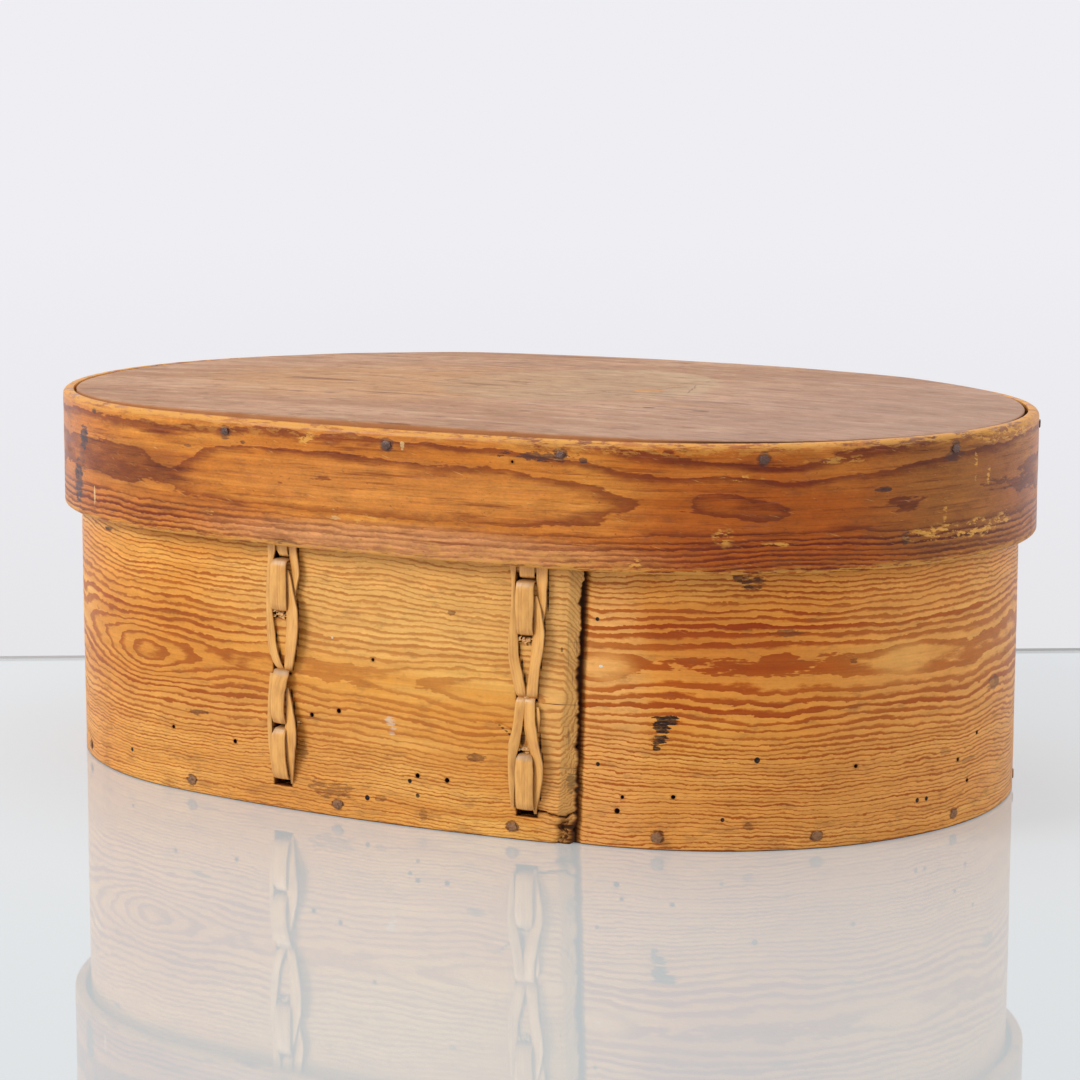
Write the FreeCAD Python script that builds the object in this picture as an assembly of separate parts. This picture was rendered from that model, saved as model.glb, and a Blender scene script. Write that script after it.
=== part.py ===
"""Oval bentwood box with a lift-off lid, in millimetres.

The origin is the middle of the underside. +X runs along the oval, +Z is up, and the front, where
the side strip is lapped and laced, looks towards -Y. A station is a distance along the outer face
of a strip, measured from the middle of the front and growing towards +X.
"""
import FreeCAD, Part
import math
import os

# Lid, outside
LID_LENGTH = 430.0
LID_WIDTH = 290.0
LID_SIDE_BOW = 6.0
LID_BAND_HEIGHT = 49.0
LID_BAND_THICKNESS = 4.6
LID_BOARD_THICKNESS = 10.0
LID_BOARD_CROWN = 2.4
LID_RUNNING_GAP = 2.4

# Box
BOX_HEIGHT = 146.5
SIDE_THICKNESS = 5.0
BASE_THICKNESS = 9.0

# Fit of the boards in their strips
BOARD_FIT = 0.2
LID_BOARD_END_GAP = 1.4
BOARD_EDGE_ROUND = 0.8

# Rounding of the strips' edges
LID_TOP_ROUND = 2.4
LID_BOTTOM_ROUND = 1.5
SIDE_FOOT_ROUND = 0.8
SIDE_RIM_ROUND = 0.8

# Lap of the side strip
SIDE_LAP_END = 93.0
SIDE_LAP_LENGTH = 150.0
SIDE_LAP_RAMP = 100.0
SIDE_OUTER_END_THICKNESS = 2.8
SIDE_BEVEL_LENGTH = 7.5
SIDE_BEVEL_DEPTH = 1.3
SIDE_INNER_END_THICKNESS = 1.5

# Lap of the lid strip, in the middle of the back
LID_LAP_LENGTH = 120.0
LID_LAP_RAMP = 60.0
LID_OUTER_END_THICKNESS = 2.2
LID_BEVEL_LENGTH = 6.0
LID_BEVEL_DEPTH = 0.9
LID_INNER_END_THICKNESS = 1.4
LAP_GLUE_GAP = 0.2

# Lacing of split root
STRAP_WIDTH = 8.0
STRAP_THICKNESS = 1.1
STRAP_CLEARANCE = 0.15
SLOT_SIDE_ROOM = 0.4
SLOT_HEIGHT = 3.6
PASS_SPACING = 1.9
LOOP_RISE = 2.3
STRAP_TAIL = 8.0
LOOP_CORNER = 2.2
TIGHT_CORNER = 0.9
STRAND_THICKNESS = 1.0
STRAND_HALF_WIDTH = 1.6
STRAND_TIP_HALF_WIDTH = 0.45
STRAND_GAP = 0.3
STRAND_SLOT_ROOM = 2.8

# Rows of lacing slots
SIDE_SLOT_LOWEST = 11.5
SIDE_SLOT_BELOW_LID = 5.2
SIDE_SHOWN_SLOT_COUNT = 5
LEFT_ROW_FROM_INNER_END = 17.5
RIGHT_ROW_FROM_OUTER_END = 22.0
LID_SLOT_LOWEST = 11.0
LID_SLOT_PITCH = 19.0
LID_SLOT_COUNT = 2

# Wooden pegs that hold the strips to the boards
BASE_PEG_DIAMETER = 4.8
LID_PEG_DIAMETER = 4.4
PEG_HOLE_ROOM = 0.05
PEG_DEPTH_IN_BOARD = 14.0
PEG_PROUD = 0.5
PEG_SIDES = 7
BASE_PEG_HEIGHT = 5.2
LID_PEG_DROP = 5.5
BASE_FRONT_PEGS = (-173.0, -88.0, -13.0, 65.0, 123.0, 185.0, 253.0, 332.0)
BASE_BACK_PEG_COUNT = 8
LID_FRONT_PEGS = (-265.0, -62.0, 15.0, 88.0, 165.0, 249.0, 345.0)
LID_BACK_PEG_COUNT = 6

# Levels
LID_TOP = BOX_HEIGHT + LID_BOARD_THICKNESS
LID_SKIRT = LID_TOP - LID_BAND_HEIGHT
SIDE_SLOT_TOP_SHOWN = LID_SKIRT - SIDE_SLOT_BELOW_LID
SIDE_SLOT_PITCH = (SIDE_SLOT_TOP_SHOWN - SIDE_SLOT_LOWEST) / (SIDE_SHOWN_SLOT_COUNT - 1)

# How far a cut reaches past the face that it starts from
CUT_MARGIN = 1.0

UP = FreeCAD.Vector(0, 0, 1)


class Oval:
    """Outline of four tangent arcs: two flat side arcs and two round end arcs."""

    def __init__(self, half_length, half_width, end_radius):
        self.half_length = half_length
        self.half_width = half_width
        self.end_radius = end_radius
        self.end_centre = half_length - end_radius
        rise = half_width - end_radius
        self.side_centre = (self.end_centre ** 2 - rise ** 2) / (2 * rise)
        self.side_radius = half_width + self.side_centre
        self.side_turn = math.atan2(self.end_centre, self.side_centre)
        self.side_arc = self.side_radius * self.side_turn
        self.end_arc = end_radius * (math.pi - 2 * self.side_turn)
        self.perimeter = 4 * self.side_arc + 2 * self.end_arc

    def normal(self, station):
        """Angle of the outward normal at a station, and the centre and radius of its arc."""
        half = self.perimeter / 2
        place = (station + half) % self.perimeter - half
        if abs(place) <= self.side_arc:
            return -math.pi / 2 + place / self.side_radius, (0, self.side_centre), self.side_radius
        if abs(place) <= self.side_arc + self.end_arc:
            turned = self.side_turn + (abs(place) - self.side_arc) / self.end_radius
            side = math.copysign(1, place)
            return -math.pi / 2 + side * turned, (side * self.end_centre, 0), self.end_radius
        beyond = place - math.copysign(half, place)
        return math.pi / 2 + beyond / self.side_radius, (0, -self.side_centre), self.side_radius

    def outward(self, station):
        angle = self.normal(station)[0]
        return FreeCAD.Vector(math.cos(angle), math.sin(angle), 0)

    def along(self, station):
        return UP.cross(self.outward(station))

    def point(self, station, inset=0.0):
        """Point on the outline, moved inwards by the inset."""
        centre, radius = self.normal(station)[1:]
        return FreeCAD.Vector(centre[0], centre[1], 0) + self.outward(station) * (radius - inset)

    def joints(self, start, end):
        """Stations from start to end at which one arc meets the next, with both ends."""
        marks = [self.side_arc, self.side_arc + self.end_arc / 2, self.side_arc + self.end_arc]
        marks = [0.0] + marks + [self.perimeter / 2] + [self.perimeter - mark for mark in marks]
        laps = [turn * self.perimeter for turn in (-2, -1, 0, 1, 2)]
        low, high = min(start, end), max(start, end)
        inside = sorted(mark + lap for mark in marks for lap in laps if low < mark + lap < high)
        stations = [low] + inside + [high]
        return stations if start < end else stations[::-1]

    def arcs(self, start, end, inset):
        """True arcs along the outline at one inset, from one station to another."""
        stations = self.joints(start, end)
        return [
            Part.Arc(
                self.point(first, inset),
                self.point((first + second) / 2, inset),
                self.point(second, inset),
            ).toShape()
            for first, second in zip(stations, stations[1:])
        ]

    def taper(self, start, end, inset_at, steps=12):
        """Smooth curve along the outline whose inset changes with the station."""
        stations = [start + (end - start) * step / steps for step in range(steps + 1)]
        points = [self.point(station, inset_at(station)) for station in stations]
        nudge = (end - start) / steps / 100

        def heading(station, ahead):
            near = self.point(station, inset_at(station))
            far = self.point(station + ahead, inset_at(station + ahead))
            return (far - near) * math.copysign(1, ahead * nudge)

        curve = Part.BSplineCurve()
        curve.interpolate(
            Points=points,
            InitialTangent=heading(start, nudge),
            FinalTangent=heading(end, -nudge),
        )
        return [curve.toShape()]

    def inside(self, inset):
        """The parallel oval that lies inside this one."""
        return Oval(
            self.half_length - inset, self.half_width - inset, self.end_radius - inset
        )


def line(first, second):
    """A straight edge, or nothing where the two points are one."""
    if first.distanceToPoint(second) < 1e-4:
        return []
    return [Part.LineSegment(first, second).toShape()]


def prism(edges, bottom, height):
    """Solid that stands on a closed run of edges."""
    face = Part.Face(Part.Wire(Part.__sortEdges__(edges)))
    face.translate(UP * bottom)
    return face.extrude(UP * height)


class Strip:
    """A bent strip whose two ends are shaved and lapped.

    The outer end lies at one station and the strip runs from it towards -X, once round the oval,
    and on under its own outer end until the lap is complete.
    """

    def __init__(self, oval, thickness, end, lap, ramp, outer_end, bevel, inner_end, ledge):
        self.oval = oval
        self.thickness = thickness
        self.end = end
        self.lap = lap
        self.ramp = ramp
        self.outer_end = outer_end
        self.bevel_length, self.bevel_depth = bevel
        self.inner_end = inner_end
        self.ledge = ledge
        self.deepest = thickness + ledge - inner_end
        self.butt = end - lap - LAP_GLUE_GAP

    def share(self, station):
        """How far the strip has dived under its own outer end, from 0 to 1."""
        reach = (self.end + self.ramp - station) / (self.ramp + self.lap)
        reach = min(max(reach, 0.0), 1.0)
        return reach ** 2 * (3 - 2 * reach)

    def seam(self, station):
        """Inset of the outer face of the layer that lies inside."""
        start = self.outer_end + LAP_GLUE_GAP
        under = self.end - station
        if under < 0:
            return start * (1 + under / self.ramp)
        return start + (self.deepest - start) * under / (self.end - self.butt)

    def inner_face(self, station):
        """Inset of the strip's inner face, thicker where the two layers lie together."""
        if not self.end - self.lap <= station <= self.end + self.ramp:
            return self.thickness
        return self.thickness + self.ledge * self.share(station)

    def hollow(self, fit=0.0):
        """Outline of the space inside the strip, or of a board that fills it with some room."""
        oval, thickness = self.oval, self.thickness + fit
        inner, far = self.end - self.lap - fit, self.end + self.ramp

        def face(station):
            return thickness + self.ledge * self.share(station)

        edges = oval.arcs(far, inner + oval.perimeter, thickness)
        edges += line(oval.point(inner, thickness), oval.point(inner, face(inner)))
        return edges + oval.taper(inner, far, face)

    def lap_cut(self):
        """Outline of what is shaved off outside the ramp and between the two layers."""
        oval, outer, butt = self.oval, self.end, self.butt
        inner, far = self.end - self.lap, self.end + self.ramp
        flush = outer - self.bevel_length
        inside = self.thickness + CUT_MARGIN

        def under_face(station):
            return self.seam(station) - LAP_GLUE_GAP

        edges = line(oval.point(far), oval.point(far, -CUT_MARGIN))
        edges += oval.arcs(far, flush, -CUT_MARGIN)
        edges += line(oval.point(flush, -CUT_MARGIN), oval.point(flush))
        edges += line(oval.point(flush), oval.point(outer, self.bevel_depth))
        edges += line(oval.point(outer, self.bevel_depth), oval.point(outer, self.outer_end))
        edges += oval.taper(outer, butt, under_face)
        edges += line(oval.point(butt, under_face(butt)), oval.point(butt, inside))
        edges += line(oval.point(butt, inside), oval.point(inner, inside))
        edges += line(oval.point(inner, inside), oval.point(inner, self.seam(inner)))
        edges += oval.taper(inner, outer, self.seam)
        return edges + oval.taper(outer, far, self.seam)

    def solid(self, bottom, top, foot_round, top_round):
        low, height = bottom - CUT_MARGIN, top - bottom + 2 * CUT_MARGIN
        full = block(self.oval, bottom, top, foot_round, top_round)
        return full.cut(prism(self.hollow(), low, height)).cut(prism(self.lap_cut(), low, height))


def block(oval, bottom, top, foot_round, top_round):
    """Full oval block with rounded edges, which a strip is cut to."""
    body = prism(oval.arcs(0, oval.perimeter, 0), bottom, top - bottom)
    for level, radius in ((bottom, foot_round), (top, top_round)):
        rim = [edge for edge in body.Edges if lies_at(edge, level)]
        body = body.makeFillet(radius, rim)
    return body


def lies_at(edge, level):
    """Whether an edge lies flat at a level."""
    box = edge.BoundBox
    return abs(box.ZMin - level) < 1e-4 and abs(box.ZMax - level) < 1e-4


def frame_at(oval, station, inset, height):
    """Axes at a place on a strip: X along it, Y upright, Z outwards."""
    out, along = oval.outward(station), oval.along(station)
    place = oval.point(station, inset) + UP * height
    return FreeCAD.Placement(
        FreeCAD.Matrix(
            along.x, UP.x, out.x, place.x,
            along.y, UP.y, out.y, place.y,
            along.z, UP.z, out.z, place.z,
            0, 0, 0, 1,
        )
    )


def placed(shape, placement):
    return shape.transformed(placement.toMatrix())


def peg(oval, station, height, diameter, length):
    """Whittled peg driven inwards, its head just proud of the strip."""
    turns = [2 * math.pi * side / PEG_SIDES for side in range(PEG_SIDES + 1)]
    corners = [
        FreeCAD.Vector(math.cos(turn), math.sin(turn), 0) * (diameter / 2) + UP * PEG_PROUD
        for turn in turns
    ]
    shank = Part.Face(Part.makePolygon(corners)).extrude(-UP * (length + PEG_PROUD))
    return placed(shank, frame_at(oval, station, 0, height))


def peg_hole(oval, station, height, diameter, length):
    hole = Part.makeCylinder(diameter / 2 + PEG_HOLE_ROOM, length + 2 * PEG_PROUD, -UP * length)
    return placed(hole, frame_at(oval, station, 0, height))


def peg_stations(oval, front, back_count):
    """The pegs seen in front, and evenly spaced ones round the back."""
    start, end = front[-1], front[0] + oval.perimeter
    back = [start + (end - start) * (step + 1) / (back_count + 1) for step in range(back_count)]
    return list(front) + back


def drilled(shape, holes):
    return shape.cut(Part.makeCompound(holes))


class Row:
    """An upright row of slots through a lapped strip, and the split root laced through it."""

    def __init__(self, strip, station, slots):
        self.strip = strip
        self.station = station
        self.slots = slots
        self.depth = strip.inner_face(station)
        self.axes = frame_at(strip.oval, station, 0, 0)
        self.outside = STRAP_CLEARANCE + STRAP_THICKNESS / 2
        self.inside = -self.depth - self.outside

    def cutters(self):
        width = STRAP_WIDTH + 2 * SLOT_SIDE_ROOM
        depth = self.depth + 4 * STRAP_THICKNESS
        return [
            placed(
                Part.makeBox(
                    width,
                    SLOT_HEIGHT,
                    depth,
                    FreeCAD.Vector(
                        -width / 2, level - SLOT_HEIGHT / 2, 2 * STRAP_THICKNESS - depth
                    ),
                ),
                self.axes,
            )
            for level in self.slots
        ]

    def strap(self, runs):
        """Flat strap woven through the slots, from the top slot down.

        The runs say, from above the top slot to below the lowest one, whether the strap lies
        inside, lies flat outside or bulges outside in a loop.
        """
        rises = {"inside": self.inside, "flat": self.outside, "loop": self.outside + LOOP_RISE}
        bends = {"inside": TIGHT_CORNER, "flat": TIGHT_CORNER, "loop": LOOP_CORNER}
        path = [(self.inside, self.slots[0] + STRAP_TAIL, 0)]
        for level, above, below in zip(self.slots, runs, runs[1:]):
            if above == below == "inside":
                continue
            through = above == "inside" or below == "inside"
            entry = level if through else level + PASS_SPACING / 2
            leave = level if through else level - PASS_SPACING / 2
            path.append((rises[above], entry, bends[above]))
            if not through:
                path.append((self.inside, entry, TIGHT_CORNER))
                path.append((self.inside, leave, TIGHT_CORNER))
            path.append((rises[below], leave, bends[below]))
        path.append((self.inside, self.slots[-1] + STRAP_TAIL, 0))
        wire = rounded_path([(FreeCAD.Vector(0, up, out), bend) for out, up, bend in path])
        side, face = STRAP_WIDTH / 2, STRAP_THICKNESS / 2
        section = [
            FreeCAD.Vector(across * side, path[0][1], path[0][0] + outwards * face)
            for across, outwards in ((-1, -1), (1, -1), (1, 1), (-1, 1), (-1, -1))
        ]
        swept = wire.makePipeShell([Part.makePolygon(section)], True, False)
        return placed(swept, self.axes)

    def strands(self, outlines):
        """Narrow strands on both sides of the strap, lying on the strip."""
        return [
            placed(strand(outline, side), self.axes)
            for outline in outlines
            for side in (-1, 1)
        ]


def rounded_path(corners):
    """Wire of straight runs with an arc at each corner that has a bend radius."""
    edges = []
    start = corners[0][0]
    for (before, _), (corner, bend), (after, _) in zip(corners, corners[1:], corners[2:]):
        back, ahead = (before - corner).normalize(), (after - corner).normalize()
        half_turn = back.getAngle(ahead) / 2
        reach = bend / math.tan(half_turn)
        middle = (back + ahead).normalize() * (bend / math.sin(half_turn) - bend)
        first, last = corner + back * reach, corner + ahead * reach
        edges += line(start, first)
        edges.append(Part.Arc(first, corner + middle, last).toShape())
        start = last
    edges += line(start, corners[-1][0])
    return Part.Wire(edges)


def strand(outline, side):
    """One flat strand from rows of height, distance from the strap's middle and half width."""
    inner = [FreeCAD.Vector(side * (middle - half), level, 0) for level, middle, half in outline]
    outer = [FreeCAD.Vector(side * (middle + half), level, 0) for level, middle, half in outline]
    edges = []
    for points in (inner, outer):
        curve = Part.BSplineCurve()
        curve.interpolate(Points=points)
        edges.append(curve.toShape())
    edges += line(inner[0], outer[0]) + line(inner[-1], outer[-1])
    face = Part.Face(Part.Wire(Part.__sortEdges__(edges)))
    face.translate(UP * STRAP_CLEARANCE)
    return face.extrude(UP * STRAND_THICKNESS)


def slot_levels(lowest, pitch, count):
    """Heights of the slots of a row, from the top one down."""
    return [lowest + pitch * step for step in range(count)][::-1]


def strand_outlines(slots):
    """Three split straps of the side lacing: heights, places and half widths of their strands."""
    wide, tip = STRAND_HALF_WIDTH, STRAND_TIP_HALF_WIDTH
    edge = STRAP_WIDTH / 2 + STRAND_GAP
    beside, together = edge + wide, STRAND_GAP / 2 + wide
    outermost = beside + wide + STRAND_GAP + tip
    pitch = slots[0] - slots[1]
    upper = [
        (slots[0] - STRAND_SLOT_ROOM, edge + tip, tip),
        (slots[0] - pitch / 2, beside, wide),
        (slots[1], beside + wide / 2, wide),
        (slots[1] - pitch / 2, outermost, tip),
    ]
    middle = [
        (slots[1] - STRAND_SLOT_ROOM, edge + tip, tip),
        (slots[1] - pitch / 2, beside - wide / 3, 2 * wide / 3),
        (slots[2], beside, wide),
        (slots[2] - pitch / 2, (beside + together) / 2, wide),
        (slots[3] + STRAND_SLOT_ROOM, together, wide),
    ]
    lower = [
        (slots[3] - STRAND_SLOT_ROOM, together, wide),
        (slots[3] - pitch / 2, (beside + together) / 2, wide),
        (slots[4], beside, wide),
        (slots[4] - pitch / 2, beside - wide / 3, 2 * wide / 3),
        (slots[5], edge + tip, tip),
    ]
    return [upper, middle, lower]


def lid_board(oval):
    """Board set into the lid strip, its top bent down a little towards both ends."""
    outline = Oval(
        oval.half_length - LID_BOARD_END_GAP, oval.half_width - BOARD_FIT, oval.end_radius - BOARD_FIT
    )
    board = prism(
        outline.arcs(0, outline.perimeter, 0), BOX_HEIGHT, LID_BOARD_THICKNESS + LID_BOARD_CROWN
    )
    crown_radius = (outline.half_length ** 2 + LID_BOARD_CROWN ** 2) / (2 * LID_BOARD_CROWN)
    axis = FreeCAD.Vector(0, -LID_WIDTH, LID_TOP + LID_BOARD_CROWN - crown_radius)
    board = board.common(
        Part.makeCylinder(crown_radius, 2 * LID_WIDTH, axis, FreeCAD.Vector(0, 1, 0))
    )
    brim = [edge for edge in board.Edges if edge.BoundBox.ZMin > LID_TOP - LID_BOARD_CROWN]
    return board.makeFillet(BOARD_EDGE_ROUND, brim)


def build():
    """Shapes of all pieces by name."""
    lid_oval = Oval(LID_LENGTH / 2, LID_WIDTH / 2, LID_WIDTH / 2 - LID_SIDE_BOW)
    side_oval = lid_oval.inside(LID_BAND_THICKNESS + LID_RUNNING_GAP)
    side_strip = Strip(
        side_oval,
        SIDE_THICKNESS,
        SIDE_LAP_END,
        SIDE_LAP_LENGTH,
        SIDE_LAP_RAMP,
        SIDE_OUTER_END_THICKNESS,
        (SIDE_BEVEL_LENGTH, SIDE_BEVEL_DEPTH),
        SIDE_INNER_END_THICKNESS,
        SIDE_INNER_END_THICKNESS + LAP_GLUE_GAP,
    )
    lid_strip = Strip(
        lid_oval,
        LID_BAND_THICKNESS,
        lid_oval.perimeter / 2 + LID_LAP_LENGTH / 2,
        LID_LAP_LENGTH,
        LID_LAP_RAMP,
        LID_OUTER_END_THICKNESS,
        (LID_BEVEL_LENGTH, LID_BEVEL_DEPTH),
        LID_INNER_END_THICKNESS,
        0.0,
    )

    slots = slot_levels(SIDE_SLOT_LOWEST, SIDE_SLOT_PITCH, SIDE_SHOWN_SLOT_COUNT + 1)
    left_station = SIDE_LAP_END - SIDE_LAP_LENGTH + LEFT_ROW_FROM_INNER_END
    left_row = Row(side_strip, left_station, slots)
    right_row = Row(side_strip, SIDE_LAP_END - RIGHT_ROW_FROM_OUTER_END, slots)
    lid_slots = slot_levels(LID_SKIRT + LID_SLOT_LOWEST, LID_SLOT_PITCH, LID_SLOT_COUNT)
    lid_row = Row(lid_strip, lid_oval.perimeter / 2, lid_slots)

    base_stations = peg_stations(side_oval, BASE_FRONT_PEGS, BASE_BACK_PEG_COUNT)
    base_pegs = [
        (side_oval, station, BASE_PEG_HEIGHT, BASE_PEG_DIAMETER, SIDE_THICKNESS + PEG_DEPTH_IN_BOARD)
        for station in base_stations
    ]
    lid_stations = peg_stations(lid_oval, LID_FRONT_PEGS, LID_BACK_PEG_COUNT)
    lid_peg_level = LID_TOP - LID_PEG_DROP
    lid_pegs = [
        (lid_oval, station, lid_peg_level, LID_PEG_DIAMETER, LID_BAND_THICKNESS + PEG_DEPTH_IN_BOARD)
        for station in lid_stations
    ]
    base_holes = [peg_hole(*place) for place in base_pegs]
    lid_holes = [peg_hole(*place) for place in lid_pegs]

    side_band = side_strip.solid(0, BOX_HEIGHT, SIDE_FOOT_ROUND, SIDE_RIM_ROUND)
    lid_band = lid_strip.solid(LID_SKIRT, LID_TOP, LID_BOTTOM_ROUND, LID_TOP_ROUND)
    base_board = prism(side_strip.hollow(BOARD_FIT), 0, BASE_THICKNESS)
    lid_inside = lid_oval.inside(LID_BAND_THICKNESS)

    outlines = strand_outlines(slots)
    return {
        "base_board": drilled(base_board, base_holes),
        "side_band": drilled(
            side_band, base_holes + left_row.cutters() + right_row.cutters()
        ),
        "base_pegs": Part.makeCompound([peg(*place) for place in base_pegs]),
        "left_lacing_strap": left_row.strap(
            ["inside", "flat", "loop", "inside", "loop", "loop", "inside"]
        ),
        "left_lacing_strands": Part.makeCompound(left_row.strands(outlines)),
        "right_lacing_strap": right_row.strap(
            ["inside", "flat", "loop", "inside", "inside", "loop", "inside"]
        ),
        "right_lacing_strands": Part.makeCompound(right_row.strands(outlines)),
        "lid_board": drilled(lid_board(lid_inside), lid_holes),
        "lid_band": drilled(lid_band, lid_holes + lid_row.cutters()),
        "lid_pegs": Part.makeCompound([peg(*place) for place in lid_pegs]),
        "lid_lacing_strap": lid_row.strap(["inside", "flat", "inside"]),
    }


os.makedirs("parts", exist_ok=True)
for name, shape in build().items():
    print(name, len(shape.Solids), shape.isValid(), round(shape.Volume))
    shape.exportStep(f"parts/{name}.step")
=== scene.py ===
"""Looks of the oval bentwood box with a lift-off lid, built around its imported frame.

Lengths are in metres in the frame of the part: the origin is the middle of the underside, +X runs
along the oval, +Z is up and the laced front looks towards -Y. A station is a distance along the
outer face of a strip, from the middle of the front and growing towards +X. A strip starts at its
outer end and runs towards -X, so the coordinates of its grain go on where its lap begins.
"""

from __future__ import annotations

import logging
import math
from collections.abc import Callable, Iterable, Sequence
from dataclasses import dataclass, replace
from enum import Enum

import bmesh
import bpy
from mathutils import Euler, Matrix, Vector, noise


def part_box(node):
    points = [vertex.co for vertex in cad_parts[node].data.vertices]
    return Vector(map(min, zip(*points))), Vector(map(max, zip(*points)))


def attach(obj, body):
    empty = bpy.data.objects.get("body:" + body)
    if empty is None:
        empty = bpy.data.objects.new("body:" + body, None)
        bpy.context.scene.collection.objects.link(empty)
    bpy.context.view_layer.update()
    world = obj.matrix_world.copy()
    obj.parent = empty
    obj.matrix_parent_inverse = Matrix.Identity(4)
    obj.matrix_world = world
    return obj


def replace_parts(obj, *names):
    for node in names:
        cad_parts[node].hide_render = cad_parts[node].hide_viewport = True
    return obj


LOG = logging.getLogger("bentwood_box")

MM = 0.001
UNROLLED = "unrolled"
# Mesh attribute: painted shade in cuts, holes, crevices, along the foot and on the lacing, some
# dirt, and the worn brim of the top board.
SHADE_DIRT_WEAR = "shade_dirt_wear"
SHARP_ANGLE = math.radians(38)

SAME_MARK = 0.02 * MM
SLOT_RIM = 0.05 * MM

Colour = tuple[float, float, float]
Place = tuple[float, float]
Rows = tuple[tuple[float, ...], ...]
Corner = bmesh.types.BMVert
Piece = bpy.types.Object
Material = bpy.types.Material


class Body(Enum):
    """Bodies of the part that a piece can ride on."""

    BOX = "box"
    LID = "lid"


class Course(Enum):
    """How the strap lies between two slots."""

    INSIDE = "inside"
    FLAT = "flat"
    LOOP = "loop"


def srgb(red: int, green: int, blue: int) -> Colour:
    """Linear colour of three display values.

    Args:
        red: Red, from 0 to 255.
        green: Green, from 0 to 255.
        blue: Blue, from 0 to 255.

    Returns:
        The linear red, green and blue.
    """
    shares = (level / 255 for level in (red, green, blue))
    return tuple(
        share / 12.92 if share <= 0.04045 else ((share + 0.055) / 1.055) ** 2.4 for share in shares
    )


def smooth(low: float, high: float, value: float) -> float:
    """Smooth step of a value between two bounds."""
    share = min(max((value - low) / (high - low), 0.0), 1.0)
    return share * share * (3 - 2 * share)


def between(first: float, second: float, share: float) -> float:
    """Value at a share of the way from the first to the second."""
    return first + (second - first) * share


def ripple(seed: float, along: float, up: float = 0.0) -> float:
    """Steady noise from about -1 to 1 at a place that is given in wavelengths."""
    return noise.noise(Vector((along, up, seed * 7.31)))


def subdivided(marks: Iterable[float], step: Callable[[float], float]) -> list[float]:
    """Values that hit every mark and lie no further apart than the step at their place.

    Args:
        marks: Values that have to be in the result.
        step: Largest step at a value.

    Returns:
        The values in rising order.
    """
    kept: list[float] = []
    for mark in sorted(marks):
        if not kept or mark - kept[-1] > SAME_MARK:
            kept.append(mark)
    values = [kept[0]]
    for first, second in zip(kept, kept[1:]):
        parts = max(1, math.ceil((second - first) / step((first + second) / 2)))
        values += [between(first, second, part / parts) for part in range(1, parts + 1)]
    return values


# Shader graphs


class Value:
    """A shader socket that takes part in Python arithmetic."""

    def __init__(self, graph: Graph, socket: bpy.types.NodeSocket) -> None:
        """Wraps an output socket of a graph."""
        self.graph = graph
        self.socket = socket

    def maths(self, operation: str, *operands: Value | float) -> Value:
        """Adds a Math node that works on these operands."""
        sockets = dict(enumerate(operands))
        return self.graph.add("ShaderNodeMath", {"operation": operation}, sockets)

    def __add__(self, other: Value | float) -> Value:
        """Sum."""
        return self.maths("ADD", self, other)

    def __mul__(self, other: Value | float) -> Value:
        """Product."""
        return self.maths("MULTIPLY", self, other)

    def __sub__(self, other: Value | float) -> Value:
        """Difference."""
        return self.maths("SUBTRACT", self, other)

    def __rsub__(self, other: float) -> Value:
        """Difference from a number."""
        return self.maths("SUBTRACT", other, self)

    def fraction(self) -> Value:
        """Part after the decimal point."""
        return self.maths("FRACT", self)

    def whole(self) -> Value:
        """Part before the decimal point."""
        return self.maths("FLOOR", self)

    def root(self) -> Value:
        """Square root."""
        return self.maths("SQRT", self)

    def bell(self) -> Value:
        """Bell curve: 1 where the value is 0, and less for higher values."""
        return self.maths("EXPONENT", self * -1.0)

    def most(self, other: Value | float) -> Value:
        """The larger of the two."""
        return self.maths("MAXIMUM", self, other)

    def least(self, other: Value | float) -> Value:
        """The smaller of the two."""
        return self.maths("MINIMUM", self, other)

    def ramp(self, low: float, high: float) -> Value:
        """Smooth step between two bounds.

        Args:
            low: Value where the step is 0.
            high: Value where the step is 1, which may be the smaller.

        Returns:
            The step, from 0 to 1.
        """
        settings = {"interpolation_type": "SMOOTHSTEP"}
        flipped = low > high
        bounds = {"From Min": min(low, high), "From Max": max(low, high)}
        ends = {"To Min": float(flipped), "To Max": float(not flipped)}
        return self.graph.add("ShaderNodeMapRange", settings, {"Value": self, **bounds, **ends})


class Graph:
    """Node tree that is written as expressions."""

    def __init__(self, tree: bpy.types.NodeTree) -> None:
        """Takes over a node tree and empties it."""
        self.tree = tree
        tree.nodes.clear()

    def add(
        self,
        kind: str,
        settings: dict[str, object] | None = None,
        sockets: dict[str | int, object] | None = None,
        output: str | int = 0,
    ) -> Value:
        """Adds a node.

        Args:
            kind: Blender's name of the node type.
            settings: Properties of the node, which are set before its sockets.
            sockets: Value or link of each input.
            output: Output that is wanted.

        Returns:
            The wanted output.
        """
        node = self.tree.nodes.new(kind)
        for name, setting in (settings or {}).items():
            setattr(node, name, setting)
        for key, value in (sockets or {}).items():
            self.feed(node.inputs[key], value)
        return Value(self, node.outputs[output])

    def feed(self, socket: bpy.types.NodeSocket, value: object) -> None:
        """Links a value to an input, or sets the input to a plain value.

        Args:
            socket: Input of a node.
            value: Value, number or colour.
        """
        if isinstance(value, Value):
            self.tree.links.new(value.socket, socket)
        elif socket.type == "RGBA":
            socket.default_value = (*value, 1.0)
        else:
            socket.default_value = value

    def mix(self, under: object, over: object, share: Value | float) -> Value:
        """Colour between two colours.

        Args:
            under: Colour where the share is 0.
            over: Colour where the share is 1.
            share: Share of the second colour.

        Returns:
            The mixed colour.
        """
        settings = {"data_type": "RGBA", "clamp_factor": True}
        return self.add("ShaderNodeMix", settings, {0: share, 6: under, 7: over}, 2)


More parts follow.
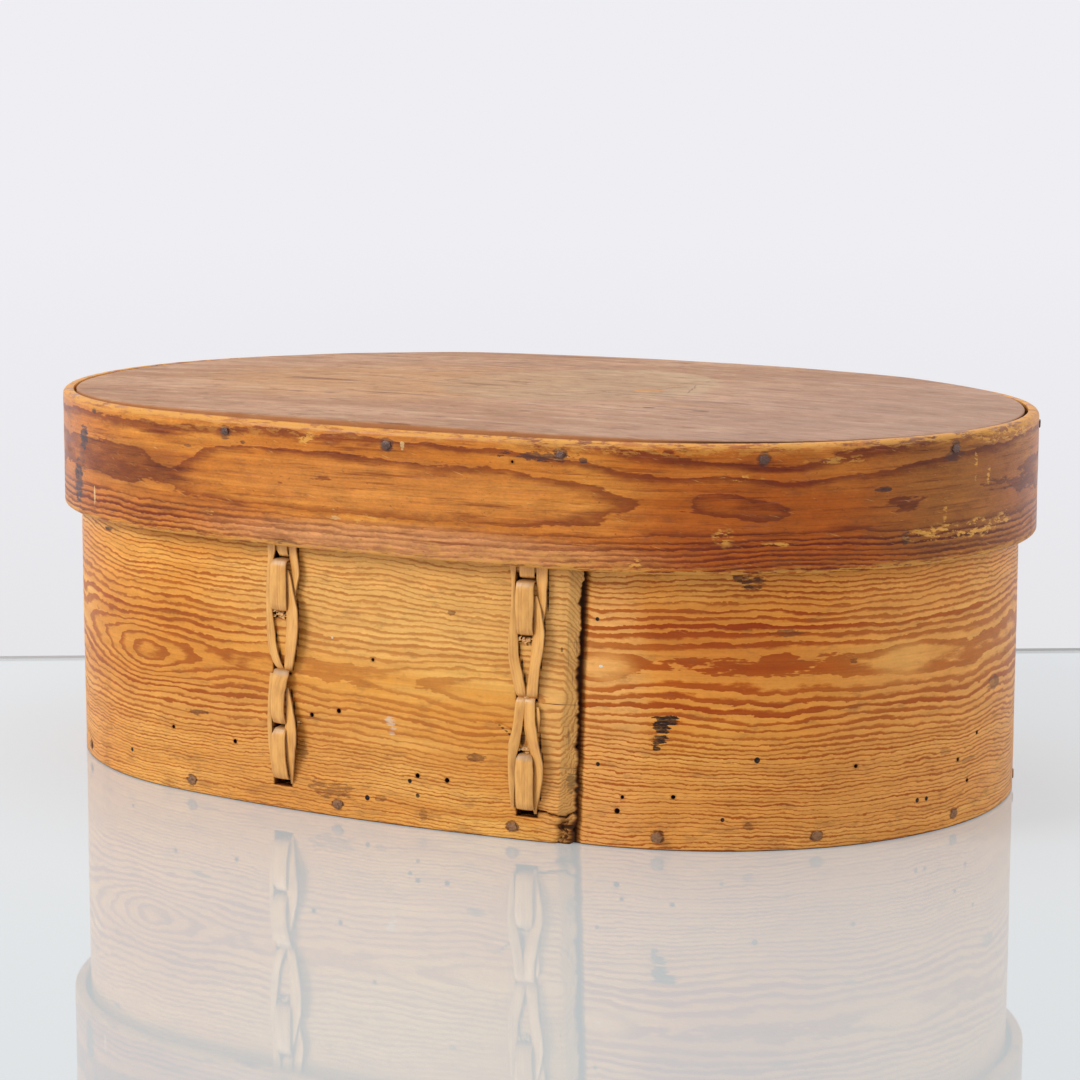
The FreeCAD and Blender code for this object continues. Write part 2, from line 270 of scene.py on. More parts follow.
class Paint(Graph):
    """Material with a Principled shader."""

    def __init__(self, name: str) -> None:
        """Makes a material whose shader still has its plain settings.

        Args:
            name: Name of the material.
        """
        self.material = bpy.data.materials.new(name)
        self.material.use_nodes = True
        super().__init__(self.material.node_tree)
        self.shader = self.tree.nodes.new("ShaderNodeBsdfPrincipled")
        output = self.tree.nodes.new("ShaderNodeOutputMaterial")
        self.tree.links.new(self.shader.outputs[0], output.inputs["Surface"])

    def dress(self, **looks: object) -> None:
        """Feeds the Principled shader; underscores in the names stand for spaces."""
        for name, value in looks.items():
            self.feed(self.shader.inputs[name.replace("_", " ")], value)

    def stain(self, colour: Value, tint: Colour, share: Value | float) -> Value:
        """Colour that is darkened towards itself times a tint.

        Args:
            colour: Colour where the share is 0.
            tint: Factor of each channel where the share is 1.
            share: Strength of the stain.

        Returns:
            The stained colour.
        """
        settings = {"data_type": "RGBA", "blend_type": "MULTIPLY", "clamp_factor": True}
        return self.add("ShaderNodeMix", settings, {0: share, 6: colour, 7: tint}, 2)

    def tint(self, colour: Value, factor: Value) -> Value:
        """Colour times a number."""
        settings = {"operation": "SCALE"}
        return self.add("ShaderNodeVectorMath", settings, {0: colour, "Scale": factor})

    def shade_dirt_wear(self) -> Value:
        """Mask from 0 to 1 that the mesh carries: painted shade in cuts, holes, crevices, along
        the foot and on the lacing, some dirt, and the worn brim of the top board.
        """
        settings = {"attribute_type": "GEOMETRY", "attribute_name": SHADE_DIRT_WEAR}
        return self.add("ShaderNodeAttribute", settings, None, "Fac")

    def chance(self, number: Value) -> Value:
        """Steady random value from -1 to 1 for a whole number."""
        settings = {"noise_dimensions": "1D"}
        return self.add("ShaderNodeTexWhiteNoise", settings, {"W": number}) * 2.0 - 1.0

    def bump(self, height: Value, distance: float) -> Value:
        """Normal of a bumpy surface."""
        sockets = {"Strength": 1.0, "Distance": distance, "Height": height}
        return self.add("ShaderNodeBump", None, sockets)


CRISP = (1.15, 0.75)
SOFT = (1.7, 0.1)


class Face:
    """Wooden face that is painted by distance along the grain and height across it."""

    def __init__(self, paint: Paint, spot: Value | None = None) -> None:
        """Takes the two distances, in metres, from the first parts of a vector.

        Args:
            paint: Material that gets the nodes.
            spot: Vector of the distances, otherwise the unrolled coordinates of the mesh.
        """
        self.paint = paint
        spot = spot or paint.add("ShaderNodeUVMap", {"uv_map": UNROLLED})
        self.along = paint.add("ShaderNodeSeparateXYZ", None, {0: spot}, "X")
        self.up = paint.add("ShaderNodeSeparateXYZ", None, {0: spot}, "Y")

    def noise(
        self,
        length: float,
        height: float,
        seed: float,
        detail: float = 2.0,
        roughness: float = 0.5,
        along: Value | None = None,
        up: Value | None = None,
    ) -> Value:
        """Noise from about -1 to 1 with its own wavelength each way.

        Args:
            length: Wavelength along the grain.
            height: Wavelength across the grain.
            seed: Shifts the pattern.
            detail: Number of finer layers.
            roughness: Strength of the finer layers.
            along: Distance that takes the place of the one along the grain.
            up: Distance that takes the place of the one across it.

        Returns:
            The noise.
        """
        wide = (along or self.along) * (1 / length) + seed * 3.7
        high = (up or self.up) * (1 / height) + seed * 1.9
        spot = self.paint.add("ShaderNodeCombineXYZ", None, {0: wide, 1: high})
        sockets = {"Vector": spot, "Scale": 1.0, "Detail": detail, "Roughness": roughness}
        raw = self.paint.add("ShaderNodeTexNoise", {"noise_dimensions": "2D"}, sockets)
        return raw * 2.0 - 1.0

    def off(self, place: Place, half: Place, along: Value | None = None) -> Value:
        """Squared distance from a place, counted in half sizes.

        Args:
            place: Distance along the grain and height of the place.
            half: Half length and half height that count as 1.
            along: Distance that takes the place of the one along the grain.

        Returns:
            The squared distance.
        """
        wide = ((along or self.along) - place[0]) * (1 / half[0])
        high = (self.up - place[1]) * (1 / half[1])
        return wide * wide + high * high

    def spot(
        self,
        place: Place,
        half: Place,
        ragged: Value,
        edge: Place = CRISP,
        along: Value | None = None,
    ) -> Value:
        """Mask of an oval mark, 1 in its middle and 0 outside.

        Args:
            place: Middle of the mark.
            half: Half length and half height of the mark.
            ragged: Noise that shifts the edge.
            edge: Squared distances, in half sizes, where the mark ends and where it is full.
            along: Distance that takes the place of the one along the grain.

        Returns:
            The mask.
        """
        return (self.off(place, half, along) + ragged).ramp(*edge)


@dataclass(frozen=True)
class Swell:
    """Place where the rings come nearer to the face and close into an eye."""

    place: Place
    half: Place
    rings: float


@dataclass(frozen=True)
class Figure:
    """Growth rings on the face of a board that was cut near the middle of the tree.

    Rings lie far apart at the height of the heart, evenly above and below it, and close together
    from some way below.
    """

    heart: float
    rise: float
    depth: float
    depth_behind: float
    spacing_below: float
    spacing_above: float
    crowd_from: float
    crowding: float
    crowd_above_from: float
    crowding_above: float
    tighter_behind: float
    drift: float
    drift_length: float
    sway: float
    wave: float
    ragged: float
    wobble: float
    feather: float
    first: float
    swells: tuple[Swell, ...] = ()
    seed: float = 0.0
    relaxed_behind: float = 0.35
    crowd_ease: float = 4 * MM

    def away(self, face: Face) -> Value:
        """Height above the heart at each place.

        Args:
            face: Face that shows the rings.

        Returns:
            The height, less than 0 below the heart.
        """
        lean = face.noise(0.16, 0.5, self.seed + 5.1, 1.0) * self.sway
        wave = face.noise(0.048, 0.045, self.seed + 6.3, 1.0) * self.wave
        fine = face.noise(0.007, 0.004, self.seed + 7.7, 3.0, 0.7) * self.ragged
        return face.up - self.heart - face.along * self.rise + lean + wave + fine

    def rings(self, face: Face, away: Value) -> Value:
        """Number of the ring at each place.

        Args:
            face: Face that shows the rings.
            away: Height above the heart.

        Returns:
            Ring number, whole at the edge of each ring.
        """
        below, above = (away * -1.0).most(0.0), away.most(0.0)
        crowd = (below - self.crowd_from).most(0.0)
        depth = self.behind(face) * (self.depth_behind - self.depth) + self.depth
        count = self.eased(below, depth) * (1 / self.spacing_below)
        count = count + self.eased(above, depth) * (1 / self.spacing_above)
        count = count * (self.behind(face) * self.tighter_behind + 1.0)
        relaxed = 1.0 - self.behind(face) * self.relaxed_behind
        count = count + self.eased(crowd, self.crowd_ease) * relaxed * self.crowding
        high = (above - self.crowd_above_from).most(0.0)
        count = count + self.eased(high, self.crowd_ease) * self.crowding_above
        count = count + face.noise(self.drift_length, 0.09, self.seed) * self.drift
        count = count + face.noise(0.024, 0.007, self.seed + 1.3) * self.wobble
        count = count + face.noise(0.0075, 0.0016, self.seed + 2.7, 2.0, 0.65) * self.feather
        for swell in self.swells:
            count = count + face.off(swell.place, swell.half).bell() * swell.rings
        return count + self.first

    def behind(self, face: Face) -> Value:
        """1 on the far half of the strip and 0 near its outer end."""
        return face.along.ramp(-0.45, -0.75)

    def eased(self, distance: Value, ease: Value | float) -> Value:
        """Distance whose first stretch counts for little."""
        return (distance * distance + ease * ease).root() - ease


@dataclass(frozen=True)
class Mark:
    """A stain, worn spot, painted shadow or patch of tone: place, half sizes, colour, strength and
    raggedness.
    """

    place: Place
    half: Place
    colour: Colour
    strength: float = 0.9
    ragged: float = 0.6


class StripFace(Face):
    """Outer face of a bent strip, with the patterns that its layers share."""

    def __init__(self, paint: Paint) -> None:
        """Adds the patterns to a material.

        Args:
            paint: Material that gets the nodes.
        """
        super().__init__(paint)
        self.fibre = self.noise(0.05, 0.0009, 3.3, 3.0, 0.6)
        self.streak = self.noise(0.12, 0.004, 4.1)
        self.cloud = self.noise(0.07, 0.03, 6.2, 3.0)
        self.mottle = self.noise(0.013, 0.006, 2.2, 3.0, 0.6)
        self.dirt = self.noise(0.016, 0.005, 8.3, 4.0, 0.7)

    def mask(self, mark: Mark, ragged: Value, edge: Place = SOFT) -> Value:
        """Mask of a mark whose edge is shifted by some noise."""
        return self.spot(mark.place, mark.half, ragged * mark.ragged, edge)


@dataclass(frozen=True)
class StripWood:
    """Varnished pine of a bent strip."""

    name: str
    early: Colour
    pale: Colour
    late_tint: Colour
    figure: Figure
    late_edge: Place
    thin_from: Place
    thinness: float
    wide_near: float
    contrast: float
    roughness: float
    coat: float
    grime: Colour
    foot: float
    grounds: tuple[Mark, ...]
    fades: tuple[tuple[Place, Place, float], ...]
    marks: tuple[Mark, ...]
    # Patches of darker latewood: soaked-up varnish, and painted shade.
    soaks_and_shade: tuple[Mark, ...] = ()
    streaks: float = 0.0
    pores: float = 0.0
    flecks: tuple[Mark, ...] = ()
    scuffs: float = 0.3
    bevel: float = 0.0
    bevel_lean: float = 0.0
    worn_rims: Place | None = None
    # Colours of the painted shade in crevices, cracks, slots and pits, with some dirt.
    soot_and_shadow: Colour = srgb(42, 24, 13)
    shade_dirt_tint: Colour = (0.30, 0.20, 0.14)
    scuff: Colour = srgb(238, 190, 116)

    def material(self) -> Material:
        """Builds the material.

        Returns:
            The material.
        """
        paint = Paint(self.name)
        face = StripFace(paint)
        away = self.figure.away(face)
        rings = self.figure.rings(face, away)
        if self.bevel:
            uneven = face.noise(0.05, 0.006, 8.8, 3.0, 0.7) * (1.2 * MM)
            inward = (face.along - face.up * self.bevel_lean - self.bevel + uneven).most(0.0)
            cut = inward.ramp(0.0, 1.6 * MM)
            rings = self.sliced(face, inward, cut, rings)
        late = self.latewood(face, away, rings) * (face.streak * 0.25 + 0.87)
        for place, half, strength in self.fades:
            late = late * (1.0 - face.spot(place, half, face.cloud, SOFT) * strength)
        wood = self.varnished(face, late)
        if self.streaks:
            wood = self.streaked(face, wood)
        wood, darkening = self.handled(face, wood)
        wood = self.marked(face, wood)
        gloss = face.fibre * 0.06 + face.cloud * 0.08 + darkening * 0.1 + self.roughness
        if self.worn_rims:
            wood, worn = self.worn(face, wood)
            gloss = gloss + worn * 0.2
        if self.bevel:
            wood = paint.mix(wood, srgb(184, 138, 78), cut * 0.5)
            split = face.noise(0.0011, 0.013, 8.1, 3.0, 0.7)
            wood = paint.mix(wood, srgb(104, 68, 38), split.ramp(0.12, 0.5) * cut * 0.55)
            gloss = gloss + cut * 0.2
        # Painted shade from the mesh, with some dirt noise: it tints the wood and turns it near
        # black where strongest.
        shade_dirt_wear = (paint.shade_dirt_wear() + face.dirt * 0.12).most(0.0).least(1.0)
        clean = shade_dirt_wear.ramp(0.5, 0.0)
        wood = paint.stain(wood, self.shade_dirt_tint, (shade_dirt_wear * 1.5).least(1.0))
        wood = paint.mix(wood, self.soot_and_shadow, shade_dirt_wear.ramp(0.45, 1.0) * 0.9)
        normal = paint.bump(late * 0.35 + face.fibre * 0.5, 0.00013)
        paint.dress(Base_Color=wood, Roughness=gloss - clean * 0.3 + 0.3, Normal=normal)
        paint.dress(Coat_Weight=clean * self.coat, Coat_Roughness=0.25, Specular_IOR_Level=0.2)
        return paint.material

    def sliced(self, face: StripFace, inward: Value, cut: Value, rings: Value) -> Value:
        """Ring number with the steeper and more broken rings of the bevel.

        Args:
            face: Face of the strip.
            inward: Distance from the line where the bevel starts.
            cut: Mask of the bevel.
            rings: Ring number without the bevel.

        Returns:
            The ring number.
        """
        swirl = face.noise(0.006, 0.008, 8.8, 3.0, 0.7)
        turning = face.up.ramp(64 * MM, 34 * MM) * 1.6 + 0.25
        return rings + inward * inward * 42000.0 + inward * 260.0 + cut * swirl * turning

    def varnished(self, face: StripFace, late: Value) -> Value:
        """Colour of the varnished wood with its rings.

        Args:
            face: Face of the strip.
            late: Mask of the latewood.

        Returns:
            The colour.
        """
        paint = face.paint
        blend = (face.cloud * 0.7 + face.streak * 0.6 + 0.3).ramp(0.0, 1.0)
        wood = paint.mix(self.early, self.pale, blend)
        for ground in self.grounds:
            mask = face.mask(ground, face.cloud)
            wood = paint.mix(wood, ground.colour, mask * ground.strength)
        wood = paint.stain(wood, self.late_tint, late)
        # Patches of darker latewood, some of them painted shade.
        for dark_patch in self.soaks_and_shade:
            mask = face.mask(dark_patch, face.cloud)
            wood = paint.stain(wood, dark_patch.colour, mask * (late * 0.8 + 0.2) * dark_patch.strength)
        return wood

    def streaked(self, face: StripFace, wood: Value) -> Value:
        """Colour with thin dark streaks, pale mauve scuffs that also paint the sheen of the
        varnish, and pores.

        Args:
            face: Face of the strip.
            wood: Colour without them.

        Returns:
            The colour.
        """
        paint = face.paint
        thin = face.noise(0.05, 0.0024, 3.9, 4.0, 0.75).ramp(0.02, 0.5)
        wood = paint.stain(wood, self.late_tint, thin * self.streaks)
        # Mauve scuffs, which also paint the sheen of the varnish.
        scuffs_and_sheen = face.noise(0.022, 0.0014, 4.9, 4.0, 0.75).ramp(0.22, 0.5)
        wood = paint.mix(wood, srgb(172, 104, 86), scuffs_and_sheen * 0.45)
        specks = face.noise(0.0028, 0.0013, 6.6, 2.0, 0.7).ramp(0.36, 0.6)
        return paint.mix(wood, srgb(92, 34, 18), specks * self.pores)

    def handled(self, face: StripFace, wood: Value) -> tuple[Value, Value]:
        """Colour with uneven shading, grime and slanting scuffs.

        Args:
            face: Face of the strip.
            wood: Colour without them.

        Returns:
            The colour and the mask of the grime.
        """
        paint = face.paint
        speckle = face.noise(0.0016, 0.0009, 1.2)
        shade = face.fibre * 0.15 + face.streak * 0.08 + face.mottle * 0.14 + speckle * 0.08
        wood = paint.tint(wood, shade * self.contrast + 1.0)
        low = face.up.ramp(self.foot + 0.034, self.foot)
        darkening = (face.dirt + low * 0.16).ramp(0.16, 0.5)
        wood = paint.mix(wood, self.grime, darkening * 0.32)
        leaning = {"along": face.along - face.up * 0.5, "up": face.up + face.along * 0.3}
        slant = face.noise(0.012, 0.0008, 5.3, 3.0, 0.7, **leaning)
        return paint.mix(wood, self.scuff, slant.ramp(0.34, 0.6) * self.scuffs), darkening

    def marked(self, face: StripFace, wood: Value) -> Value:
        """Colour with the stains, the painted shadows and the chipped flecks.

        Args:
            face: Face of the strip.
            wood: Colour without them.

        Returns:
            The colour.
        """
        paint = face.paint
        ragged = face.noise(0.008, 0.0019, 7.7, 4.0, 0.75) * 1.7
        uneven = ragged * -0.5 + 0.9
        for mark in self.marks:
            mask = face.mask(mark, ragged, CRISP)
            wood = paint.mix(wood, mark.colour, mask * uneven * mark.strength)
        chipped = face.noise(0.007, 0.0024, 7.1, 4.0, 0.7, along=face.along + face.up * 0.5)
        chips = chipped.ramp(0.0, 0.16)
        for fleck in self.flecks:
            mask = face.mask(fleck, ragged)
            wood = paint.mix(wood, fleck.colour, mask * chips * fleck.strength)
        return wood

    def worn(self, face: StripFace, wood: Value) -> tuple[Value, Value]:
        """Colour with rims that are worn to bare wood and a dusty upper edge.

        Args:
            face: Face of the strip.
            wood: Colour without them.

        Returns:
            The colour and the mask of the bare wood.
        """
        paint, up = face.paint, face.up
        bottom, top = self.worn_rims
        edge = (up.ramp(bottom + 0.0045, bottom) + up.ramp(top - 0.005, top)).least(1.0)
        chips = face.noise(0.013, 0.0016, 5.9, 4.0, 0.75)
        worn = edge * (chips + edge * 0.3 - 0.12).ramp(0.0, 0.2)
        dust = up.ramp(top - 0.0028, top - 0.0002) * (face.mottle + 0.7).least(1.0)
        wood = paint.mix(wood, srgb(184, 130, 88), dust * 0.6)
        return paint.mix(wood, srgb(232, 166, 78), worn * 0.85), worn

    def latewood(self, face: StripFace, away: Value, rings: Value) -> Value:
        """Mask of the dark latewood, which ends sharply at the edge of each ring.

        Args:
            face: Face of the strip.
            away: Height above the heart.
            rings: Ring number at each place.

        Returns:
            The mask.
        """
        phase = rings.fraction()
        own = face.paint.chance(rings.whole())
        far = away.most(away * -1.0)
        thin = far.ramp(*self.thin_from)
        behind = self.figure.behind(face) * 0.85 + 0.15
        width = face.noise(0.04, 0.009, 9.4) * 0.24 + own * 0.09
        width = width - thin * self.thinness + far.ramp(26 * MM, 8 * MM) * behind * self.wide_near
        late = (phase + width).ramp(*self.late_edge) * phase.ramp(1.0, 0.95)
        return late * (own * 0.15 + 1.0)


@dataclass(frozen=True)
class BoardWood:
    """Bare, handled wood of the lid's top, with the ghost of a round thing that stood on it and a
    painted mauve sheen towards its right end.
    """

    name: str
    ground: Colour
    light: Colour
    dark: Colour
    golden: Colour
    stain: Colour
    stain_rim: Colour
    stain_place: Place = (8.5 * MM, 20.5 * MM)
    stain_half: Place = (60 * MM, 64 * MM)
    scratches: Rows = (
        (46, 22, 0.5, 26, 0.30), (36, 6, 0.5, 30, 0.55), (58, 30, 0.4, 16, -0.35),
        (20, -4, 0.5, 18, 0.75),
    )
    spots: Rows = ((74, -40, 3.2, 2.4), (97, -39, 3.6, 2.0), (-62, -30, 1.6, 1.4))

    def material(self) -> Material:
        """Builds the material.

        Returns:
            The material.
        """
        paint = Paint(self.name)
        face = Face(paint)
        along = face.along
        across = face.up + face.noise(0.25, 0.06, 1.0, 1.0) * 0.005
        band = face.noise(0.3, 0.016, 2.0, 4.0, 0.7, up=across)
        fibre = face.noise(0.07, 0.0065, 3.0, 5.0, 0.75, up=across)
        cloud = face.noise(0.10, 0.045, 4.0, 3.0)
        dashes = face.noise(0.016, 0.006, 5.0, 4.0, 0.7, up=across)
        grain = cloud * 0.8 + band * 0.9 + fibre * 0.5 + 0.45
        wood = paint.mix(self.ground, self.light, grain.ramp(0.0, 1.0))
        gold = face.off((-70 * MM, -6 * MM), (90 * MM, 70 * MM)) + cloud * 0.5
        wood = paint.mix(wood, self.golden, gold.ramp(*SOFT) * 0.6)
        wood = paint.mix(wood, self.stained(face, cloud), self.ghost(face))
        wood = paint.mix(wood, self.dark, (band * 0.7 + fibre * 1.1 - 0.12).ramp(0.0, 0.5) * 0.75)
        wood = paint.mix(wood, self.dark, dashes.ramp(0.16, 0.4) * 0.5)
        wood = paint.mix(wood, self.stain_rim, (dashes + fibre * 0.5).ramp(-0.15, -0.45) * 0.5)
        wood = self.scarred(face, wood)
        # Painted sheen: greyish mauve towards the right end of the top.
        mauve_sheen = along.ramp(10 * MM, 190 * MM) * 0.55
        wood = paint.mix(wood, srgb(172, 142, 130), mauve_sheen * (band * 0.5 + 0.8))
        grit = face.noise(0.022, 0.009, 7.0, 6.0, 0.85, up=across)
        wood = paint.tint(wood, grit * 0.46 + 0.98)
        edge = (paint.shade_dirt_wear() + dashes * 0.3).most(0.0).least(1.0)
        wood = paint.mix(wood, srgb(176, 116, 68), edge * 0.9)
        joint = paint.shade_dirt_wear().ramp(0.3, 0.8) * along.ramp(110 * MM, 150 * MM)
        wood = paint.mix(wood, srgb(62, 36, 24), joint * 0.9)
        normal = paint.bump(fibre * 0.7 + dashes * 0.4 + band * 0.5, 0.00022)
        paint.dress(Base_Color=wood, Roughness=cloud * 0.08 + fibre * 0.06 + 0.62, Normal=normal)
        paint.dress(Specular_IOR_Level=0.22)
        return paint.material

    def scarred(self, face: Face, wood: Value) -> Value:
        """Colour with the dark spots, the scratches and one worn fleck.

        Args:
            face: Face of the board.
            wood: Colour without them.

        Returns:
            The colour.
        """
        paint = face.paint
        ragged = face.noise(0.012, 0.006, 6.0, 3.0, 0.7)
        for x, y, wide, high in self.spots:
            mask = face.spot((x * MM, y * MM), (wide * MM, high * MM), ragged * 1.4)
            wood = paint.mix(wood, srgb(84, 62, 62), mask * 0.7)
        for x, y, wide, high, slant in self.scratches:
            line = face.along - (face.up - y * MM) * slant + ragged * 0.0014
            half = (wide * MM, high * MM)
            mask = face.spot((x * MM, y * MM), half, ragged * 0.7, along=line)
            wood = paint.mix(wood, srgb(112, 84, 72), mask * 0.6)
        fleck = face.spot((44 * MM, 16 * MM), (6 * MM, 7 * MM), ragged * 1.6)
        return paint.mix(wood, srgb(214, 150, 82), fleck * 0.7)

    def ghost(self, face: Face) -> Value:
        """Mask of the round mark, which is clearest on its right side.

        Args:
            face: Face of the board.

        Returns:
            The mask.
        """
        ragged = face.noise(0.035, 0.016, 6.0, 4.0, 0.7)
        off = face.off(self.stain_place, self.stain_half)
        fade = face.along.ramp(-60 * MM, 20 * MM) * 0.35 + 0.45
        return (off + ragged * 0.4).ramp(1.08, 0.9) * fade

    def stained(self, face: Face, cloud: Value) -> Value:
        """Colour inside the round mark, paler along its far and right edge.

        Args:
            face: Face of the board.
            cloud: Large soft noise.

        Returns:
            The colour.
        """
        off = face.off(self.stain_place, self.stain_half)
        far = (face.along * 0.7 + face.up).ramp(20 * MM, 60 * MM)
        pale = (off + cloud * 0.3).ramp(0.3, 0.9) * far
        return face.paint.mix(self.stain, self.stain_rim, pale * 0.6)


@dataclass(frozen=True)
class RootFibre:
    """Split root of long fibres: painted light, sheen and dust on faces that look up, painted
    shade on the edges and underside.
    """

    name: str
    light: Colour
    dark: Colour
    sheen_and_dust: Colour
    dull: Colour

    def material(self) -> Material:
        """Builds the material.

        Returns:
            The material.
        """
        paint = Paint(self.name)
        face = Face(paint)
        fibre = face.noise(0.05, 0.0006, 1.0, 3.0, 0.6)
        cloud = face.noise(0.012, 0.003, 2.0, 3.0, 0.6)
        facing = paint.add("ShaderNodeNewGeometry", None, None, "Normal")
        upward = paint.add("ShaderNodeSeparateXYZ", None, {0: facing}, "Z")
        # Painted light: faces that look up are paler.
        shade = (fibre * 0.35 + cloud * 0.6 + upward * -0.5 + 0.35).ramp(0.0, 1.0)
        skin = paint.mix(self.light, self.dark, shade * 0.85)
        # Greyish sheen on faces that look up: painted highlight, with dust.
        upward_sheen = (upward + fibre * 0.12 + cloud * 0.15).ramp(0.12, 0.5)
        skin = paint.mix(skin, self.sheen_and_dust, upward_sheen * 0.45)
        # Mask from the mesh: painted shade on the edges and underside, and darker just below each
        # slot; it mixes in the dull colour.
        shade_dirt_wear = (paint.shade_dirt_wear() + cloud * 0.08 - 0.04).most(0.0).least(1.0)
        skin = paint.mix(skin, self.dull, shade_dirt_wear * 0.85)
        paint.dress(Base_Color=skin, Roughness=fibre * 0.06 + shade_dirt_wear * 0.2 + 0.34)
        paint.dress(Normal=paint.bump(fibre, 0.00008), Coat_Weight=0.15, Coat_Roughness=0.3)
        return paint.material


@dataclass(frozen=True)
class PegWood:
    """End grain of a whittled peg."""

    name: str
    face: Colour
    grime: Colour
    roughness: float

    def material(self) -> Material:
        """Builds the material.

        Returns:
            The material.
        """
        paint = Paint(self.name)
        face = Face(paint)
        speck = face.noise(0.0011, 0.0009, 1.0, 3.0, 0.6)
        patch = face.noise(0.004, 0.003, 2.0, 2.0)
        colour = paint.mix(self.face, self.grime, (speck * 0.8 + patch * 0.5 + 0.3).ramp(0.0, 1.0))
        paint.dress(Base_Color=colour, Roughness=speck * 0.08 + self.roughness)
        paint.dress(Normal=paint.bump(speck, 0.0002), Coat_Weight=0.15, Coat_Roughness=0.3)
        return paint.material


# Meshes


def placed(name: str, data: bpy.types.ID) -> Piece:
    """Makes an object of the scene.

    Args:
        name: Name of the object.
        data: Mesh, camera or lamp that it shows.

    Returns:
        The object.
    """
    made = bpy.data.objects.new(name, data)
    bpy.context.scene.collection.objects.link(made)
    return made

class Shell:
    """Mesh under construction whose corners know their unrolled coordinates."""

    def __init__(self) -> None:
        """Starts an empty mesh."""
        self.mesh = bmesh.new()
        self.layer = self.mesh.loops.layers.uv.new(UNROLLED)
        self.shade_dirt_wear = self.mesh.verts.layers.float.new(SHADE_DIRT_WEAR)
        self.unrolled: dict[Corner, Place] = {}

    def point(self, place: Vector, unrolled: Place, shade_dirt_wear: float = 0.0) -> Corner:
        """Adds a corner.

        Args:
            place: Where the corner is.
            unrolled: Its distance along the grain and its height across it.
            shade_dirt_wear: Its painted shade, dirt and wear, from 0 to 1.

        Returns:
            The corner.
        """
        corner = self.mesh.verts.new(place)
        corner[self.shade_dirt_wear] = shade_dirt_wear
        self.unrolled[corner] = unrolled
        return corner

    def face(self, corners: Sequence[Corner]) -> None:
        """Adds a face, unless fewer than three different corners are left of it.

        Args:
            corners: Corners of the face in order, some of which may be the same.
        """
        distinct = list(dict.fromkeys(corners))
        if len(distinct) < 3:
            return
        made = self.mesh.faces.new(distinct)
        made.smooth = True
        for loop in made.loops:
            loop[self.layer].uv = self.unrolled[loop.vert]

    def band(
        self, first: Sequence[Corner], second: Sequence[Corner], closed: bool = False
    ) -> None:
        """Adds a row of faces between two rows of corners.

        Args:
            first: Corners on one side.
            second: Corners on the other side, as many.
            closed: Whether the row ends where it starts.
        """
        count = len(first)
        for step in range(count if closed else count - 1):
            ahead = (step + 1) % count
            self.face([first[step], first[ahead], second[ahead], second[step]])

    def tube(self, rings: Sequence[Sequence[Corner]]) -> None:
        """Joins rings of corners to a body that is closed at both ends.

        Args:
            rings: Rings with the same number of corners.
        """
        for first, second in zip(rings, rings[1:]):
            self.band(first, second, closed=True)
        self.face(rings[0])
        self.face(rings[-1])

    def piece(self, name: str, slot: str, body: Body, material: Material) -> Piece:
        """Finishes the mesh as an object of the scene.

        Args:
            name: Name of the piece.
            slot: Not used.
            body: Body that the piece rides on.
            material: Finish of the piece.

        Returns:
            The object.
        """
        bmesh.ops.recalc_face_normals(self.mesh, faces=self.mesh.faces)
        data = bpy.data.meshes.new(name)
        self.mesh.to_mesh(data)
        self.mesh.free()
        data.set_sharp_from_angle(angle=SHARP_ANGLE)
        data.materials.append(material)
        made = placed(name, data)
        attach(made, body.value)
        return made


@dataclass(frozen=True)
class Oval:
    """Outline of four tangent arcs: two flat side arcs and two round end arcs."""

    half_length: float
    half_width: float
    end_radius: float

    @property
    def side_centre(self) -> float:
        """Distance of a side arc's centre from the middle."""
        rise = self.half_width - self.end_radius
        return ((self.half_length - self.end_radius) ** 2 - rise**2) / (2 * rise)

    @property
    def side_radius(self) -> float:
        """Radius of the side arcs."""
        return self.half_width + self.side_centre

    @property
    def side_turn(self) -> float:
        """Angle from the middle of a side arc to its end."""
        return math.atan2(self.half_length - self.end_radius, self.side_centre)

    @property
    def side_arc(self) -> float:
        """Length of half a side arc."""
        return self.side_radius * self.side_turn

    @property
    def end_arc(self) -> float:
        """Length of an end arc."""
        return self.end_radius * (math.pi - 2 * self.side_turn)

    @property
    def perimeter(self) -> float:
        """Length of the whole outline."""
        return 4 * self.side_arc + 2 * self.end_arc

    def at(self, station: float) -> tuple[Vector, Vector]:
        """Place on the outline.

        Args:
            station: Distance along the outline.

        Returns:
            The point and the outward direction.
        """
        half = self.perimeter / 2
        spot = (station + half) % self.perimeter - half
        side, size = math.copysign(1, spot), abs(spot)
        end_centre = self.half_length - self.end_radius
        if size <= self.side_arc:
            angle = -math.pi / 2 + spot / self.side_radius
            centre, radius = Vector((0, self.side_centre, 0)), self.side_radius
        elif size <= self.side_arc + self.end_arc:
            turned = self.side_turn + (size - self.side_arc) / self.end_radius
            angle = -math.pi / 2 + side * turned
            centre, radius = Vector((side * end_centre, 0, 0)), self.end_radius
        else:
            angle = math.pi / 2 + (spot - side * half) / self.side_radius
            centre, radius = Vector((0, -self.side_centre, 0)), self.side_radius
        out = Vector((math.cos(angle), math.sin(angle), 0))
        return centre + out * radius, out

    def point(self, station: float, inset: float, height: float) -> Vector:
        """Point at a station, some way inside the outline and some way up."""
        place, out = self.at(station)
        return place - out * inset + Vector((0, 0, height))


@dataclass(frozen=True)
class Slot:
    """Upright place of a slot through a strip."""

    station: float
    level: float


@dataclass(frozen=True)
class WormHole:
    """Round flight hole of a woodworm."""

    station: float
    level: float
    radius: float = 0.8 * MM


END_WAVES = ((1, 0.9, 11 * MM), (2, 0.7, 4.0 * MM), (3, 0.9, 1.6 * MM))
END_RUNS = (0.0, 2.4 * MM, 4.0 * MM, 5.6 * MM)
CREVICE_RUNS = tuple(step * 0.8 * MM for step in range(-7, 10))


